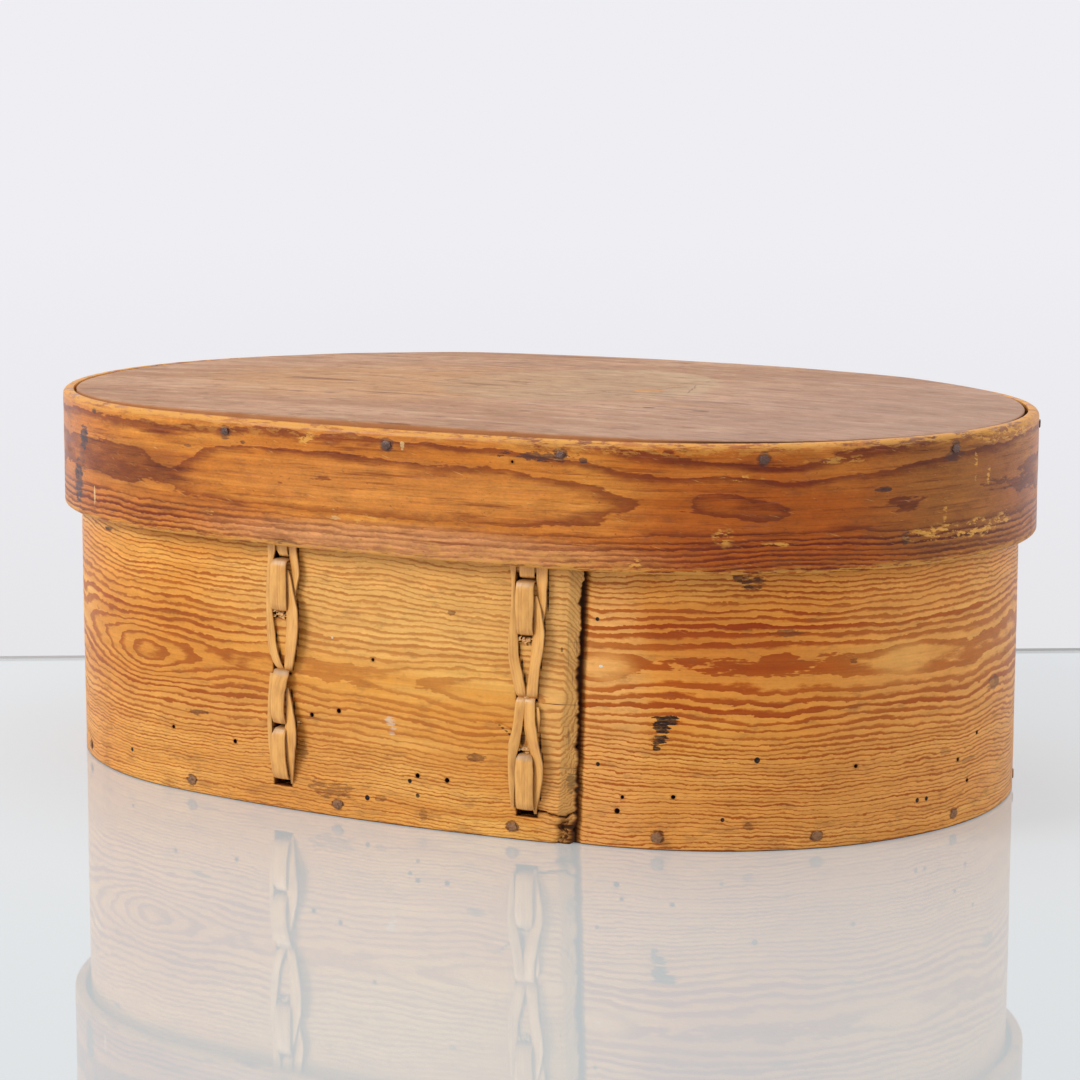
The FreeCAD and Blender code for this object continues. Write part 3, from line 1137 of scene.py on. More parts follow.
@dataclass
class BentStrip:
    """Bent strip with a shaved and lapped joint, cut with slots and worm holes.

    A run is a distance along the strip from its outer end.
    """

    name: str
    node: str
    slot: str
    body: Body
    oval: Oval
    bottom: float
    top: float
    thickness: float
    end: float
    lap: float
    ramp: float
    outer_end: float
    bevel_length: float
    bevel_depth: float
    inner_end: float
    ledge: float
    foot_round: float
    rim_round: float
    slots: tuple[Slot, ...]
    slot_half: Place
    worm_holes: tuple[WormHole, ...]
    raggedness: float
    end_lean: Place
    dents: float
    glue_gap: float = 0.2 * MM
    hole_depth: float = 2.2 * MM
    # Ring round each slot over which its painted shade fades out.
    slot_shade_fade: float = 0.8 * MM
    crevice_depth: float = 0.0
    edge_round: float = 0.5 * MM
    lift_share: float = 0.3
    lift_reach: float = 5 * MM
    crevice_start: Place = (-3 * MM, -1 * MM)
    crevice_end: Place = (4.2 * MM, 0.8 * MM)
    tip_step: float = 0.6 * MM
    row_height: float = 3.0 * MM
    coarse: float = 3.2 * MM
    fine: float = 0.9 * MM
    fine_reach: float = 22 * MM
    end_reach: float = 14 * MM
    least_wood: float = 0.25 * MM

    @property
    def length(self) -> float:
        """Whole length of the strip."""
        return self.oval.perimeter + self.lap

    def run_of(self, station: float) -> float:
        """Run at which the outer face of the box shows a station."""
        return (self.end - station) % self.oval.perimeter

    def seam(self, station: float) -> float:
        """Inset of the outer face of the layer inside.

        Args:
            station: Place on that layer.

        Returns:
            The inset.
        """
        start = self.outer_end + self.glue_gap
        deepest = self.thickness + self.ledge - self.inner_end
        under = self.end - station
        if under < 0:
            return start * max(0.0, 1 + under / self.ramp)
        return start + (deepest - start) * under / (self.lap + self.glue_gap)

    def outer_inset(self, run: float, level: float) -> float:
        """Inset of the outer face.

        Args:
            run: Distance along the strip.
            level: Height of the place.

        Returns:
            The inset.
        """
        if run < self.bevel_length:
            return self.bevel_depth * (1 - run / self.bevel_length)
        if run > self.oval.perimeter - self.ramp:
            seam = self.seam(self.end - (run - self.oval.perimeter))
            return seam + self.crevice(run, level) * self.crevice_depth
        return 0.0

    def height_share(self, level: float) -> float:
        """Share of the strip's height that lies below a level."""
        return (level - self.bottom) / (self.top - self.bottom)

    def beside(self, run: float, level: float) -> float:
        """Distance of a place on the layer below from the outer end, which leans."""
        lean = between(*self.end_lean, self.height_share(level)) * self.raggedness
        return self.oval.perimeter - run - lean

    def crevice(self, run: float, level: float) -> float:
        """Share of the crevice's depth that the layer below the outer end has at a place."""
        beside = self.beside(run, level)
        return smooth(*self.crevice_start, beside) * smooth(*self.crevice_end, beside)

    def inner_inset(self, run: float) -> float:
        """Inset of the inner face.

        Args:
            run: Distance along the strip.

        Returns:
            The inset.
        """
        if run < self.lap:
            lifted = self.lift_share * self.crevice_depth * smooth(self.lift_reach, 0.0, run)
            return self.seam(self.end - run) - self.glue_gap - lifted
        share = smooth(self.oval.perimeter - self.ramp, self.length, run)
        return self.thickness + self.ledge * share

    def ragged_end(self, level: float) -> float:
        """How far the outer end lies beyond its plain line at a height.

        Args:
            level: Height of the place.

        Returns:
            The distance along the outline.
        """
        rough = sum(size * ripple(seed, level / wave) for seed, size, wave in END_WAVES)
        return (rough + between(*self.end_lean, self.height_share(level))) * self.raggedness

    def dent(self, run: float, level: float) -> float:
        """Inset of slight hollows in the outer face.

        Args:
            run: Distance along the strip.
            level: Height of the place.

        Returns:
            The inset.
        """
        wide = ripple(4, run / (70 * MM), level / (40 * MM))
        small = ripple(5, run / (16 * MM), level / (9 * MM))
        return max(0.0, 0.5 + 0.5 * wide + 0.3 * small) * self.dents

    def rounding(self, level: float, foot: float, rim: float) -> float:
        """Extra inset of a face near the rims.

        Args:
            level: Height of the place.
            foot: Radius of the lower edge.
            rim: Radius of the upper edge.

        Returns:
            The inset.
        """
        low = max(0.0, foot - (level - self.bottom))
        high = max(0.0, rim - (self.top - level))
        inset = foot - math.sqrt(max(0.0, foot**2 - low**2))
        return inset + (rim - math.sqrt(max(0.0, rim**2 - high**2)))

    def rows(self) -> list[float]:
        """Heights of the rows of corners.

        Returns:
            The heights in rising order.
        """
        marks = [self.bottom, self.top]
        for angle in (22, 45, 68, 90):
            step = 1 - math.cos(math.radians(angle))
            marks += [self.bottom + self.foot_round * step, self.top - self.rim_round * step]
        for slot in self.slots:
            for reach in (self.slot_half[1], self.slot_half[1] + self.slot_shade_fade):
                marks += [slot.level - reach, slot.level + reach]
        return subdivided(marks, self.row_step)

    def row_step(self, level: float) -> float:
        """Largest height of a row of faces."""
        return self.row_height

    def runs(self) -> list[float]:
        """Runs of the columns of corners.

        Returns:
            The runs in rising order.
        """
        marks = [*END_RUNS, self.bevel_length, self.lap, self.length]
        marks += [self.oval.perimeter - self.ramp]
        marks += [self.oval.perimeter + off for off in CREVICE_RUNS]
        for slot in self.slots:
            for layer in (0, 1):
                middle = self.run_of(slot.station) + layer * self.oval.perimeter
                if middle < self.length:
                    for reach in (self.slot_half[0], self.slot_half[0] + self.slot_shade_fade):
                        marks += [middle - reach, middle + reach]
        return subdivided(marks, lambda run: self.fine if run < self.fine_reach else self.coarse)

    def in_slot(self, run: float, level: float, rim: float = 0.0) -> bool:
        """Whether a place lies in a slot.

        Args:
            run: Distance along the strip.
            level: Height of the place.
            rim: Width round the slots that counts as well.

        Returns:
            True in a slot.
        """
        for slot in self.slots:
            off = (run - self.run_of(slot.station)) % self.oval.perimeter
            off = min(off, self.oval.perimeter - off)
            high = abs(level - slot.level)
            if off < self.slot_half[0] + rim and high < self.slot_half[1] + rim:
                return True
        return False

    def carve(self, run: float, level: float) -> float:
        """Extra inset of cuts and breaks in the outer face."""
        return 0.0

    def darkening(self, run: float, level: float) -> float:
        """Painted shade on the outer face at the slots, and the painted shadow beside the outer
        end.

        Args:
            run: Distance along the strip.
            level: Height of the place.

        Returns:
            The painted shade, from 0 to 1.
        """
        # Painted shade round the slots.
        at_slot = 0.45 if self.in_slot(run, level, SLOT_RIM) else 0.0
        # Painted shadow beside the outer end: dark at its edge, fading over a few millimetres.
        beside = self.beside(run, level)
        reach = (3.4 + 1.8 * ripple(46, level / (9 * MM))) * MM
        shade = smooth(*self.crevice_start, beside) * smooth(reach, -0.6 * MM, beside) ** 1.2
        return max(at_slot, shade if self.crevice_depth else 0.0)

    def build(self, material: Material) -> Piece:
        """Builds the strip.

        Args:
            material: Finish of the strip.

        Returns:
            The strip's object.
        """
        shell = Shell()
        runs, rows = self.runs(), self.rows()
        spots = [[(run, level) for level in rows] for run in runs]
        wormed = self.aim_at_worm_holes(runs, rows, spots)
        outer: list[list[Corner]] = []
        inner: list[list[Corner]] = []
        for column in spots:
            pairs = [self.pair(shell, run, level) for run, level in column]
            outer.append([first for first, _ in pairs])
            inner.append([second for _, second in pairs])
        self.skin(shell, (runs, rows), (outer, inner), wormed)
        self.extras(shell)
        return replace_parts(shell.piece(self.name, self.slot, self.body, material), self.node)

    def pair(self, shell: Shell, run: float, level: float) -> tuple[Corner, Corner]:
        """Adds the corners of both faces at a place.

        Args:
            shell: Mesh under construction.
            run: Distance along the strip.
            level: Height of the place.

        Returns:
            The outer and the inner corner.
        """
        shift = self.ragged_end(level) * max(0.0, 1 - run / self.end_reach)
        station = self.end - run + shift
        inset = self.outer_inset(run, level)
        inset += self.rounding(level, self.foot_round, self.rim_round)
        inset += self.dent(run, level)
        inset += self.carve(run, level)
        depth = self.inner_inset(run) - self.rounding(level, self.edge_round, self.edge_round)
        inset = min(inset, depth - self.least_wood)
        place = self.oval.point(station, inset, level)
        first = shell.point(place, (station, level), self.darkening(run, level))
        back = shift * (0.6 + 0.4 * ripple(9, level / (2 * MM)))
        place = self.oval.point(self.end - run + back, depth, level)
        # Painted shade on the end face and the slot walls; on the end face it also stands for
        # darker end grain.
        end_or_slot = run == 0.0 or self.in_slot(run, level, SLOT_RIM)
        return first, shell.point(place, (station, level), float(end_or_slot))

    def extras(self, shell: Shell) -> None:
        """Adds what else the strip has."""

    def skin(
        self,
        shell: Shell,
        marks: tuple[list[float], list[float]],
        faces: tuple[list[list[Corner]], list[list[Corner]]],
        wormed: dict[tuple[int, int], WormHole],
    ) -> None:
        """Joins the corners of the strip with faces.

        Args:
            shell: Mesh under construction.
            marks: Runs of the columns and heights of the rows.
            faces: Corners of the outer and of the inner face.
            wormed: Worm hole in each cell that has one.
        """
        runs, rows = marks
        outer, inner = faces
        wide, high = len(runs) - 1, len(rows) - 1
        tips = self.tips(shell, rows)
        cut = {
            (i, j)
            for i in range(wide)
            for j in range(high)
            if self.in_slot((runs[i] + runs[i + 1]) / 2, (rows[j] + rows[j + 1]) / 2)
        }
        for i in range(wide):
            for j in range(high):
                if (i, j) in cut:
                    continue
                around = ((i, j), (i + 1, j), (i + 1, j + 1), (i, j + 1))
                ring, back = ([grid[a][b] for a, b in around] for grid in faces)
                if i == 0:
                    lowest, highest = ((outer[0][k], inner[0][k]) for k in (j, j + 1))
                    ends = [lowest, *tips[j], highest]
                    for first, second in zip(ends, ends[1:]):
                        shell.face([first[0], second[0], second[1], first[1]])
                    ring += [first for first, _ in reversed(tips[j])]
                    back += [second for _, second in reversed(tips[j])]
                if (i, j) in wormed:
                    self.bore(shell, ring, wormed[i, j])
                else:
                    shell.face(ring)
                shell.face(back)
                for di, dj, (a, b), (c, d) in (
                    (-1, 0, around[0], around[3]), (1, 0, around[1], around[2]),
                    (0, -1, around[0], around[1]), (0, 1, around[3], around[2]),
                ):
                    beside = (i + di, j + dj)
                    inside = 0 <= beside[0] < wide and 0 <= beside[1] < high
                    if beside[0] >= 0 and (beside in cut or not inside):
                        shell.face([outer[a][b], outer[c][d], inner[c][d], inner[a][b]])

    def tips(self, shell: Shell, rows: list[float]) -> list[list[tuple[Corner, Corner]]]:
        """Adds the corners of the ragged outer end that lie between two rows.

        Args:
            shell: Mesh under construction.
            rows: Heights of the rows.

        Returns:
            Outer and inner corners from each row to the next.
        """
        tips = []
        for low, top in zip(rows, rows[1:]):
            parts = max(1, math.ceil((top - low) / self.tip_step))
            levels = [between(low, top, part / parts) for part in range(1, parts)]
            tips.append([self.pair(shell, 0.0, level) for level in levels])
        return tips

    def aim_at_worm_holes(
        self, runs: list[float], rows: list[float], spots: list[list[Place]]
    ) -> dict[tuple[int, int], WormHole]:
        """Moves corners so that each worm hole has a cell of its own around it.

        Args:
            runs: Runs of the columns.
            rows: Heights of the rows.
            spots: Run and height of each corner, which are changed.

        Returns:
            The worm hole of each cell that has one.
        """
        found: dict[tuple[int, int], WormHole] = {}
        near_reach, far_reach = 2.4 * MM, 7 * MM
        for hole in self.worm_holes:
            run = self.run_of(hole.station)
            i = max(k for k in range(len(runs) - 1) if runs[k] <= run)
            j = max(k for k in range(len(rows) - 1) if rows[k] <= hole.level)
            cell = (runs[i + 1] - runs[i], rows[j + 1] - rows[j])
            near = {(a, b) for a in (i - 1, i, i + 1) for b in (j - 1, j, j + 1)}
            if min(cell) < 2.2 * hole.radius or near & set(found):
                continue
            middle = ((runs[i] + runs[i + 1]) / 2, (rows[j] + rows[j + 1]) / 2)
            shift = (run - middle[0], hole.level - middle[1])
            found[i, j] = hole
            for a in range(max(i - 3, 1), min(i + 5, len(runs) - 1)):
                for b in range(max(j - 3, 5), min(j + 5, len(rows) - 5)):
                    off = math.hypot(runs[a] - middle[0], rows[b] - middle[1])
                    share = smooth(far_reach, near_reach, off)
                    old = spots[a][b]
                    spots[a][b] = (old[0] + shift[0] * share, old[1] + shift[1] * share)
        return found

    def bore(self, shell: Shell, ring: Sequence[Corner], hole: WormHole) -> None:
        """Fills a cell with a round pit.

        Args:
            shell: Mesh under construction.
            ring: Four corners of the cell.
            hole: Worm hole in the cell.
        """
        middle = sum((corner.co for corner in ring), Vector()) / 4
        centre = [sum(shell.unrolled[corner][axis] for corner in ring) / 4 for axis in (0, 1)]
        along = (ring[0].co - ring[1].co).normalized()
        upright = Vector((0, 0, 1))
        inward = upright.cross(along)
        if inward.dot(Vector((middle.x, middle.y, 0))) > 0:
            inward = -inward
        levels: list[list[Corner]] = []
        # Painted shade in the pit: some on its rim, full at its bottom.
        for depth, shade_dirt_wear in ((0.0, 0.35), (self.hole_depth, 1.0)):
            circle = []
            for step in range(8):
                angle = math.pi / 4 * (step + 0.5)
                aside, rise = math.cos(angle) * hole.radius, math.sin(angle) * hole.radius
                place = middle + along * aside + upright * rise + inward * depth
                circle.append(shell.point(place, (centre[0] + aside, centre[1] + rise), shade_dirt_wear))
            levels.append(circle)

        def bearing(corner: Corner) -> float:
            """Angle of a corner round the middle of the hole."""
            off = corner.co - middle
            return math.atan2(off.dot(upright), off.dot(along)) % (2 * math.pi)

        rim, ordered = levels[0], sorted(ring, key=bearing)
        for quarter in range(4):
            corner, following = ordered[quarter], ordered[(quarter + 1) % 4]
            first, second, third = (rim[(2 * quarter + k) % 8] for k in (0, 1, 2))
            shell.face([corner, second, first])
            shell.face([corner, following, third, second])
        shell.band(levels[0], levels[1], closed=True)
        shell.face(levels[1])


# Lacing


@dataclass
class LacedRow:
    """Split root that is laced through an upright row of slots."""

    side: str
    body: Body
    oval: Oval
    station: float
    depth: float
    levels: tuple[float, ...]
    courses: tuple[Course, ...]
    strands: tuple[Rows, ...] = ()
    frays: tuple[tuple[float, float, float, int], ...] = ()
    shape: Rows = ((0.0, 0.0, 3.8),)
    strap_thickness: float = 1.1 * MM
    strand_thickness: float = 1.0 * MM
    fray_thickness: float = 0.35 * MM
    clearance: float = 0.15 * MM
    loop_rise: float = 2.3 * MM
    tail: float = 8.0 * MM
    start: float = 0.4 * MM
    inside_start: float = 0.9 * MM
    bend: float = 0.9 * MM
    pass_spacing: float = 1.25 * MM
    path_step: float = 1.5 * MM

    def place(self, aside: float, level: float, out: float) -> Vector:
        """Point beside the row's middle line.

        Args:
            aside: Distance from the line, towards +X.
            level: Height.
            out: Distance outwards from the strip's face.

        Returns:
            The point.
        """
        spot, outward = self.oval.at(self.station)
        along = Vector((0, 0, 1)).cross(outward)
        return spot + along * aside + outward * out + Vector((0, 0, level))

    def corners(self) -> list[tuple[float, float, float]]:
        """Corners of the strap's path.

        Returns:
            Distance out, height and bend radius of each corner.
        """
        inside = -self.depth - self.surface
        path = [(inside, self.levels[0] + self.tail, 0.0)]
        for level, above, below in zip(self.levels, self.courses, self.courses[1:]):
            if above is Course.INSIDE and below is Course.INSIDE:
                continue
            through = Course.INSIDE in (above, below)
            enter, leave = level + self.pass_spacing / 2, level - self.pass_spacing / 2
            if through:
                start = self.inside_start if below is Course.INSIDE else self.start
                enter = leave = level + start
            path += reversed(self.course(above, enter, self.pitch))
            if not through:
                path += [(inside, enter, self.bend), (inside, leave, self.bend)]
            path += self.course(below, leave, -self.pitch)
        path.append((inside, self.levels[-1] + self.tail, 0.0))
        return path

    @property
    def surface(self) -> float:
        """Distance of a flat strap's middle from the face that it lies on."""
        return self.clearance + self.strap_thickness / 2

    @property
    def pitch(self) -> float:
        """Distance between two slots."""
        return self.levels[0] - self.levels[1]

    def course(
        self, course: Course, level: float, pitch: float
    ) -> list[tuple[float, float, float]]:
        """Corners of the strap from a slot to the middle of a course.

        Args:
            course: How the strap lies.
            level: Height at which the strap passes through the slot.
            pitch: Way to the next slot, less than 0 where that is down.

        Returns:
            Distance out, height and bend radius of each corner.
        """
        if course is Course.INSIDE:
            return [(-self.depth - self.surface, level, self.bend)]
        if course is Course.FLAT:
            return [(self.surface, level, self.bend)]
        return [
            (self.surface + self.loop_rise * high, level + pitch * share, bend * MM)
            for share, high, bend in LOOP_CURVE
        ]

    def shaped(self, level: float) -> Place:
        """Sideways shift and half width of the strap.

        Args:
            level: Height of the place.

        Returns:
            The shift and the half width.
        """
        if level >= self.shape[0][0] * MM:
            return self.shape[0][1] * MM, self.shape[0][2] * MM
        for high, low in zip(self.shape, self.shape[1:]):
            if level >= low[0] * MM:
                share = smooth(high[0] * MM, low[0] * MM, level)
                return between(high[1], low[1], share) * MM, between(high[2], low[2], share) * MM
        return self.shape[-1][1] * MM, self.shape[-1][2] * MM

    def path(self) -> list[Place]:
        """Rounded path of the strap.

        Returns:
            Distance out and height of each point.
        """
        corners = self.corners()
        points: list[Place] = [corners[0][:2]]
        for before, corner, after in zip(corners, corners[1:], corners[2:]):
            here = Vector(corner[:2])
            back = (Vector(before[:2]) - here).normalized()
            ahead = (Vector(after[:2]) - here).normalized()
            half = back.angle(ahead) / 2
            reach = corner[2] / math.tan(half)
            centre = here + (back + ahead).normalized() * (corner[2] / math.sin(half))
            first, last = here + back * reach - centre, here + ahead * reach - centre
            for step in range(7):
                ray = first.lerp(last, step / 6).normalized() * corner[2]
                points.append(tuple(centre + ray))
        points.append(corners[-1][:2])
        return self.evened(points)

    def evened(self, points: list[Place]) -> list[Place]:
        """Adds points to long straight runs.

        Args:
            points: Points of the path.

        Returns:
            The points and those between them.
        """
        result = [points[0]]
        for first, second in zip(points, points[1:]):
            gap = math.dist(first, second)
            if gap < 0.01 * MM:
                continue
            parts = max(1, round(gap / self.path_step))
            for share in (part / parts for part in range(1, parts + 1)):
                result.append(tuple(between(*pair, share) for pair in zip(first, second)))
        return result

    def strap(self, material: Material) -> Piece:
        """Builds the wide strap.

        Args:
            material: Finish of the root.

        Returns:
            The strap's object.
        """
        shell = Shell()
        path = self.path()
        rings: list[list[Corner]] = []
        walked = 0.0
        for index, (out, level) in enumerate(path):
            before, after = path[max(index - 1, 0)], path[min(index + 1, len(path) - 1)]
            heading = Vector((after[0] - before[0], after[1] - before[1])).normalized()
            face = Vector((-heading.y, heading.x))
            walked += math.dist(before, (out, level))
            shift, half = self.shaped(level)
            half *= 1 + 0.04 * ripple(11 + self.station, walked / (9 * MM))
            # The strap is darker just below each slot, where it comes out.
            below = min((slot - level for slot in self.levels if slot > level), default=self.tail)
            dull = smooth(3.2 * MM, 0.6 * MM, below) * 0.6
            ring = []
            for across, rise in RIBBON_SECTION:
                aside = shift + across * half
                lift = rise * self.strap_thickness / 2
                place = self.place(aside, level + face.y * lift, out + face.x * lift)
                spot = (walked, across * half + 0.02 * self.station)
                ring.append(shell.point(place, spot, max(dull, self.shaded(across, rise))))
            rings.append(ring)
        shell.tube(rings)
        made = shell.piece(f"{self.side}_row_strap", "split_root", self.body, material)
        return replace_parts(made, f"{self.side}_lacing_strap")

    def shaded(self, across: float, rise: float) -> float:
        """Painted shade on the edges and the underside of a split root."""
        return 0.9 if rise < 0 else 0.45 * float(abs(across) > 0.9)

    def side_strands(self, material: Material) -> Piece:
        """Builds the narrow strands beside the strap.

        Args:
            material: Finish of the root.

        Returns:
            The strands' object.
        """
        shell = Shell()
        for number, stops in enumerate(self.strands):
            self.ribbon(shell, stops, number, self.strand_thickness)
        for level, aside, spread, count in self.frays:
            for number in range(count):
                self.fray(shell, (aside, level), spread, number)
        made = shell.piece(f"{self.side}_row_strands", "split_root", self.body, material)
        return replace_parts(made, f"{self.side}_lacing_strands")

    def fray(self, shell: Shell, place: Place, spread: float, number: int) -> None:
        """Adds one curled end of bark in a slot.

        Args:
            shell: Mesh under construction.
            place: Offset and height of the middle of the ends.
            spread: Half of the width that the ends fill.
            number: Number of the end, for its own shape.
        """
        seed = place[1] * 1000 + number * 3.7 + self.station * 50
        chance = [2 * ripple(60 + axis, seed) for axis in range(6)]
        middle = (place[1] + chance[0] * 0.9 * MM, place[0] + chance[1] * spread)
        heading = chance[2] * 2.4
        length, half = (2.3 + 1.0 * chance[3]) * MM, (0.42 + 0.2 * chance[4]) * MM
        stops = []
        for step in range(7):
            share = step / 6 - 0.5
            curl = heading + share * 2.6
            stops.append(
                (
                    middle[0] + math.sin(curl) * share * length,
                    middle[1] + math.cos(curl) * share * length,
                    half * (1.1 - 1.5 * share * share),
                    -0.6 * MM + (0.25 - share * share) * 3.6 * MM,
                    chance[5] * 40,
                )
            )
        self.ribbon(shell, stops, 20 + number, self.fray_thickness)

    def ribbon(self, shell: Shell, stops: Rows, number: int, thickness: float) -> None:
        """Adds one strand to a mesh.

        Args:
            shell: Mesh under construction.
            stops: Rows of height, offset, half width, lift and tilt in degrees.
            number: Number of the strand, for its own unevenness.
            thickness: Thickness of the strand.
        """
        stops = spline(stops, 8)
        rings = []
        for level, aside, half, lift, tilt in stops:
            turn = math.radians(tilt)
            rough = 1 + 0.08 * ripple(20 + number, level / (4 * MM))
            ring = []
            for across, rise in RIBBON_SECTION:
                flat = across * half * rough
                up = rise * thickness / 2 * min(1.0, 0.35 + half / (1.2 * MM))
                off = flat * math.cos(turn) - up * math.sin(turn)
                out = lift + self.clearance + thickness / 2
                out += flat * math.sin(turn) + up * math.cos(turn)
                place = self.place(aside + off, level, out)
                spot = (level + number * 0.3, flat + number * 0.01)
                ring.append(shell.point(place, spot, self.shaded(across, rise)))
            rings.append(ring)
        shell.tube(rings)


LOOP_CURVE = ((0.03, 0.50, 1.0), (0.12, 0.86, 4.5), (0.30, 1.0, 16.0))

RIBBON_SECTION = (
    (-1.0, -0.2), (-0.98, 0.35), (-0.9, 0.7), (-0.5, 0.94), (0.0, 1.0), (0.5, 0.94), (0.9, 0.7),
    (0.98, 0.35), (1.0, -0.2), (0.94, -0.8), (0.5, -0.95), (0.0, -1.0), (-0.5, -0.95),
    (-0.94, -0.8),
)


def spline(stops: Rows, steps: int) -> list[tuple[float, ...]]:
    """Smooth run of values through the stops.

    Args:
        stops: Rows of values.
        steps: Steps between two stops.

    Returns:
        Rows of values, with those of the stops among them.
    """

    def curve(a: float, b: float, c: float, d: float, t: float) -> float:
        """Value at a share of the way from the second of four values to the third."""
        square, cube = (2 * a - 5 * b + 4 * c - d) * t**2, (3 * b - a - 3 * c + d) * t**3
        return 0.5 * (2 * b + (c - a) * t + square + cube)

    result: list[tuple[float, ...]] = []
    for index in range(len(stops) - 1):
        before, first = stops[max(index - 1, 0)], stops[index]
        second, after = stops[index + 1], stops[min(index + 2, len(stops) - 1)]
        for share in (step / steps for step in range(steps)):
            result.append(tuple(curve(*four, share) for four in zip(before, first, second, after)))
    result.append(tuple(stops[-1]))
    return result


# Boards and pegs


RING_SHARES = (0.985, 0.96, 0.92, 0.87, 0.8, 0.72, 0.62, 0.5, 0.38, 0.25, 0.12)


@dataclass
class LidBoard:
    """Top board of the lid, bent down a little towards both ends."""

    oval: Oval
    bottom: float
    rim: float
    crown: float
    brim: float = 0.8 * MM
    columns: int = 240

    def height(self, x: float, y: float) -> float:
        """Height of the top at a place."""
        fall = self.crown * (x / self.oval.half_length) ** 2
        return self.rim + self.crown - fall - self.hollow(x, y)

    def hollow(self, x: float, y: float) -> float:
        """Depth of slight dips in the top.

        Args:
            x: Place along the board.
            y: Place across it.

        Returns:
            The depth.
        """
        wide = ripple(31, x / 0.13, y / 0.06)
        small = ripple(32, x / 0.03, y / 0.012)
        return max(0.0, 0.25 + 0.25 * wide + 0.12 * small) * MM

    def build(self, material: Material) -> Piece:
        """Builds the board.

        Args:
            material: Finish of the board.

        Returns:
            The board's object.
        """
        shell = Shell()
        stations = [self.oval.perimeter * step / self.columns for step in range(self.columns)]
        rings = []
        for angle in (0, 30, 60, 90):
            drop = self.brim * (1 - math.sin(math.radians(angle)))
            inset = self.brim * (1 - math.cos(math.radians(angle)))
            rings.append(self.ring(shell, stations, inset, 1.0, drop))
        for share in RING_SHARES:
            rings.append(self.ring(shell, stations, self.brim, share, 0.0))
        under = []
        for station in stations:
            laid = self.oval.point(station, self.bottom - self.rim, 0.0)
            place = self.oval.point(station, 0, self.bottom)
            under.append(shell.point(place, (laid.x, laid.y), 1.0))
        for first, second in zip([under] + rings, rings):
            shell.band(first, second, closed=True)
        shell.face(rings[-1])
        shell.face(under)
        made = shell.piece("lid_board_wood", "lid_board_wood", Body.LID, material)
        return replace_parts(made, "lid_board")

    def ring(
        self, shell: Shell, stations: Sequence[float], inset: float, share: float, drop: float
    ) -> list[Corner]:
        """Adds one closed ring of corners of the top.

        Args:
            shell: Mesh under construction.
            stations: Places along the outline.
            inset: Distance from the outline.
            share: Share of the distance from the middle.
            drop: Distance below the top.

        Returns:
            The ring's corners.
        """
        corners = []
        for station in stations:
            spot = self.oval.point(station, inset, 0.0) * share
            spot.z = self.height(spot.x, spot.y) - drop
            laid = self.oval.point(station, inset - drop, 0.0) * share
            corners.append(shell.point(spot, (laid.x, laid.y), drop / self.brim))
        return corners


@dataclass
class Pegs:
    """Row of whittled pegs round a strip."""

    name: str
    node: str
    slot: str
    body: Body
    oval: Oval
    level: float
    front: Sequence[float]
    back: int
    radius: float
    proud: float
    seed: float
    depth: float = 14.0 * MM
    lean: float = 0.16

    @property
    def stations(self) -> list[float]:
        """Stations of all pegs, which are spread evenly where none is given.

        Returns:
            Stations in metres.
        """
        front = [station * MM for station in self.front]
        start, end = front[-1], front[0] + self.oval.perimeter
        return front + [between(start, end, (k + 1) / (self.back + 1)) for k in range(self.back)]

    def build(self, material: Material) -> Piece:
        """Builds the pegs.

        Args:
            material: Finish of the pegs.

        Returns:
            The pegs' object.
        """
        shell = Shell()
        for number, station in enumerate(self.stations):
            self.peg(shell, station, number)
        made = shell.piece(self.name, self.slot, self.body, material)
        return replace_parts(made, self.node)

    def peg(self, shell: Shell, station: float, number: int) -> None:
        """Adds one peg.

        Args:
            shell: Mesh under construction.
            station: Place of the peg.
            number: Number of the peg, for its own shape.
        """
        spot, outward = self.oval.at(station)
        along = Vector((0, 0, 1)).cross(outward)
        sides = 4 + number % 3
        spin = ripple(self.seed, number * 3.1) * 3
        rates = ((self.seed + 1, 2.3), (self.seed + 2, 1.7))
        lean = [ripple(seed, number * rate) * self.lean for seed, rate in rates]
        rings = []
        for depth, share in ((-self.depth, 0.85), (-0.3 * MM, 1.0), (0.6, 0.97), (1.0, 0.78)):
            ring = []
            for side in range(sides):
                angle = 2 * math.pi * side / sides + spin
                uneven = ripple(self.seed + 3, number * 5.3 + side * 1.7)
                reach = self.radius * share * (1 + 0.3 * uneven)
                aside, rise = math.cos(angle) * reach, math.sin(angle) * reach * 0.85
                out = depth * self.proud if depth > 0 else depth
                if depth > 0:
                    out = min(out + aside * lean[0] + rise * lean[1], self.proud)
                place = spot + along * aside + outward * out + Vector((0, 0, self.level + rise))
                ring.append(shell.point(place, (aside + number * 0.02, rise + out)))
            rings.append(ring)
        shell.tube(rings)


# The box's own pieces

BOW = 6.0 * MM
SIDE_LOOP = 1.13464
WORM_HOLES = tuple(
    WormHole(station * MM, level * MM, radius * MM)
    for station, level, radius in (
        (98.5, 88.0, 0.8), (99, 32, 0.85), (161, 35.5, 1.15), (129, 21, 0.85), (109, 20, 0.7),
        (107, 14.5, 1.05), (148, 12.5, 0.8), (201, 31, 0.8), (255, 26.5, 0.8), (262, 17, 0.8),
        (231, 14, 0.95), (236, 14, 0.9), (269, 35, 0.8), (4, 65, 0.7), (-12, 43, 1.0),
        (-25, 40, 0.9), (1, 9.5, 1.1), (-64, 24.5, 0.9), (-98, 26, 0.8), (-126, 12, 0.9),
        (24, 21, 0.95), (37, 20.5, 1.0), (24, 13, 0.9), (20.5, 18.5, 0.9),
    )
)

